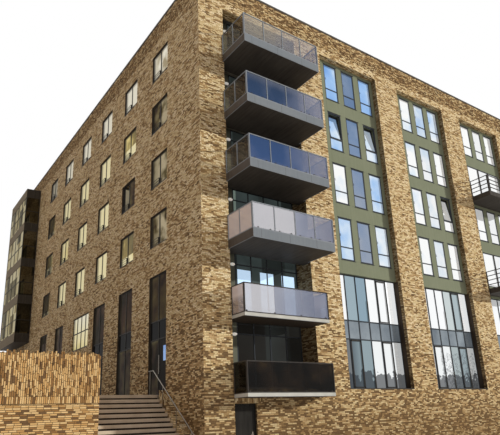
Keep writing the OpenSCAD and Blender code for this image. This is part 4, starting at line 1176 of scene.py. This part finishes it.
piece("soldier_course", soldier_brick, [block((1.325, -0.006, 2.275), (2.62, 0.0, 2.462))])

# %% [markdown]
# The entrance door at the head of the stair has a tall narrow glass pane in a
# slim rim, and a long bar to pull. The pane is a tinted mirror like the windows,
# and its pale blue is a painted reflection of the sky, but it is small, so it
# needs no glow of its own.

# %% Entrance door
# The pane's pale blue is a painted reflection of the sky.
door_sky_glass, add = new_material("door_glass_painted_sky")
cloud = add("TexNoise", {"Vector": add("TexCoord").outputs["Object"], "Scale": 1.4,
                         "Detail": 3.0})
add("OutputMaterial", add("BsdfPrincipled", {
    "Base Color": add("ValToRGB", cloud, stops=[(0.3, "5F86C4"), (0.7, "A9C6EC")]),
    "Metallic": 0.9, "Roughness": 0.05}))
LEAF_X0 = 0.090
PANE_Y, PANE_Z, RIM = (3.24, 3.50), (4.22, 4.86), 0.025
pane = [wall_block(1, PANE_Y, (LEAF_X0 - 0.004, LEAF_X0), PANE_Z)]
piece("entrance_vision_pane", door_sky_glass, pane, "entrance_leaf")
rim_z = (PANE_Z[0] - RIM, PANE_Z[1] + RIM)
rim = [wall_block(1, along, (LEAF_X0 - 0.010, LEAF_X0), upward) for along, upward in (
    ((PANE_Y[0] - RIM, PANE_Y[0]), rim_z), ((PANE_Y[1], PANE_Y[1] + RIM), rim_z),
    (PANE_Y, (rim_z[0], PANE_Z[0])), (PANE_Y, (PANE_Z[1], rim_z[1])))]
piece("entrance_pane_rim", door_metal, rim, "entrance_leaf", 0.001)
pull = [block((LEAF_X0 - 0.060, 3.795, 3.70), (LEAF_X0 - 0.036, 3.819, 4.50))]
pull += [block((LEAF_X0 - 0.040, 3.799, z), (LEAF_X0, 3.815, z + 0.02)) for z in (3.78, 4.40)]
piece("entrance_pull", brushed_steel, pull, "entrance_leaf", 0.004)

# %% [markdown]
# ## Balconies and lamps
# What holds glass on a real building is small hardware: a drip folded under each
# fascia, clamps on the panes, and a rim round each lamp. It is a few millimetres
# thick, but without it the panes would seem to float.

# %% Balcony hardware
DECK_X, DECK_Y, FASCIA_H = (1.255, 5.545), -1.766, 0.35
drips, clamps = [], []
for storey in (2, 3, 4, 5):
    foot = floor_level(storey) - 0.53
    top = foot + FASCIA_H
    under = (foot - 0.018, foot)
    drips.append(wall_block(0, DECK_X, (DECK_Y, -1.752), under))
    for x in (DECK_X[0], DECK_X[1] - 0.014):
        drips.append(wall_block(0, (x, x + 0.014), (-1.752, -0.004), under))
    drips.append(block((1.256, -1.7695, top - 0.030), (5.544, -1.760, top + 0.004)))
    for x in (RAIL_X + RAIL_PANE * (k + share) for k in range(4) for share in (0.22, 0.78)):
        clamps.append(block((x - 0.03, -1.768, top + 0.038), (x + 0.03, -1.736, top + 0.085)))
for foot in (2.6, 5.6):
    for x in (1.42 + k * 1.36 for k in range(4)):
        clamps.append(block((x - 0.03, -0.897, foot + 0.03), (x + 0.03, -0.866, foot + 0.09)))
    drips.append(block((1.33, -0.897, foot - 0.142), (5.68, -0.880, foot - 0.130)))
piece("fascia_drips", METALS["balcony_rails"], drips)
piece("pane_clamps", casement_metal, clamps, soften=0.003)

# %% Lamp rims
SIDES = 32
LAMP_X, LAMP_Y, LAMP_UP = 2.06, 1.0, 2.17
RIM_SECTION = ((1.0, 0.0), (1.0, -0.022), (0.90, -0.030), (0.90, 0.0))
rims = []
for storey in range(FLOORS):
    ring = []
    for angle in (2 * math.pi * turn / SIDES for turn in range(SIDES)):
        for size, out in RIM_SECTION:
            ring.append((LAMP_X + 0.138 * size * math.cos(angle), LAMP_Y + out,
                         floor_level(storey) + LAMP_UP + 0.079 * size * math.sin(angle)))
    faces = [(4 * t + c, 4 * t + (c + 1) % 4, 4 * ((t + 1) % SIDES) + (c + 1) % 4,
              4 * ((t + 1) % SIDES) + c) for t in range(SIDES) for c in range(4)]
    rims.append((ring, faces))
piece("lamp_rims", METALS["balcony_rails"], rims)

# %% [markdown]
# ## Stair and roof
# Each tread has a dark grip strip near its edge, and each post stands on a small
# steel plate. On the roof the membrane is turned up against the parapet over a
# slanted fillet, as roofers do, because a sharp fold would crack.

# %% Stair hardware
GOING, RISER, RISERS, LANDING = 0.229, 0.187, 15, 3.206
POST_X = (-0.395, -0.305)
grips, plates = [], []
for k in range(1, RISERS + 1):
    nose = LANDING - (RISERS - k) * GOING
    grips.append(block((-3.85, nose + 0.025, k * RISER), (-0.35, nose + 0.045, k * RISER + 0.002)))
posts = [(LANDING - (RISERS - k) * GOING + GOING / 2, k * RISER) for k in (2, 7, 12)]
for y, z in posts + [(3.80, TERRACE)]:
    plates.append(block((POST_X[0], y - 0.045, z), (POST_X[1], y + 0.045, z + 0.008)))
# The grips take the same dark finish as the carriage.
piece("tread_grips", MINERALS["stair_carriage"], grips)
piece("post_plates", brushed_steel, plates, soften=0.002)

# %% Roof and stack flashings
FILLET = ((0.0, 0.0), (0.08, 0.0), (0.025, 0.06), (0.025, 0.30), (0.0, 0.30))
upstands = []
roof_x, roof_y = (WALL_T, FRONT_L - WALL_T), (FRONT_T, SIDE_L - WALL_T)
for axis, face, inward, span in (
        (0, roof_y[0], 1, roof_x), (0, roof_y[1], -1, roof_x),
        (1, roof_x[0], 1, (0.60, 32.32)), (1, roof_x[1], -1, (0.60, 32.32))):
    outline = [(face + inward * across, rise) for across, rise in FILLET]
    upstands.append(drawn_out(lifted(outline, ROOF), axis, *span))
piece("roof_upstands", MINERALS["roof_slab"], upstands)
cap = [(-1.10, 20.80), (-1.10, 20.84), (0.0, 20.87), (0.0, 20.80)]
piece("stack_cap", METALS["stack_slabs"], [drawn_out(cap, 1, 26.30, 31.50)])

# %% [markdown]
# ## Floor, light and background
# The block stands on a plain pale floor that keeps its shadow. The background is
# white wherever the camera, a mirror or a pane looks at it, while the walls get a
# lower, even light from it. One broad warm lamp stands for the sun, low on the
# right of the front, so the long side lies in the shade.


# %% Floor
def seen_directly(add):
    """1 for the rays of the camera, of mirrors and of glass, and 0 for the rest."""
    rays = add("LightPath").outputs
    return add("Math.MAXIMUM", rays["Is Camera Ray"],
               add("Math.MAXIMUM", rays["Is Glossy Ray"], rays["Is Transmission Ray"]))


floor_finish, add = new_material("pale_studio_floor")
faint = add("TexNoise", {"Vector": add("TexCoord").outputs["Object"], "Scale": 0.4,
                         "Detail": 3.0})
add("OutputMaterial", add("BsdfPrincipled", {
    "Base Color": add("ValToRGB", faint, stops=[(0.3, "E6E4E0"), (0.7, "EBE9E5")]),
    "Roughness": 0.9, "Emission Color": linear("F4F3F1"),
    "Emission Strength": add("Math.MULTIPLY", seen_directly(add), 0.35)}))

HALF = 160.0
floor_mesh = bpy.data.meshes.new("studio_floor")
floor_mesh.from_pydata([(-HALF, -HALF, 0), (HALF, -HALF, 0), (HALF, HALF, 0), (-HALF, HALF, 0)],
                       [], [(0, 1, 2, 3)])
floor_mesh.materials.append(floor_finish)
studio_floor = bpy.data.objects.new("studio_floor", floor_mesh)
bpy.context.collection.objects.link(studio_floor)
studio_floor.location.z = -0.004
print("floor of", 2 * HALF, "m")

# %% World and lamp
AMBIENT = 0.52
AMBIENT_TONE, WHITE = (1.0, 0.890, 0.865, 1.0), (1.0, 1.0, 1.0, 1.0)
world = bpy.data.worlds.new("studio_world")
bpy.context.scene.world = world
world.use_nodes = True
world.node_tree.nodes.clear()
add = partial(add_node, world.node_tree)
shown = seen_directly(add)
add("OutputWorld", add("Background", {
    "Color": add("Mix.RGBA", shown, AMBIENT_TONE, WHITE),
    "Strength": add("Math.MULTIPLY_ADD", shown, 1.0 - AMBIENT, AMBIENT)}))

sun_data = bpy.data.lights.new("warm_key_lamp", "SUN")
sun_data.energy = 3.7
sun_data.angle = math.radians(1.5)
sun_data.color = (1.0, 0.98, 0.92)
sun = bpy.data.objects.new("warm_key_lamp", sun_data)
sun.visible_glossy = False
bpy.context.collection.objects.link(sun)
to_sun = Vector((1.62, -1.0, 0.48)).normalized()
sun.rotation_euler = to_sun.to_track_quat("Z", "Y").to_euler()
bpy.context.scene.view_settings.view_transform = "Standard"
print("lamp from", tuple(round(v, 2) for v in to_sun))
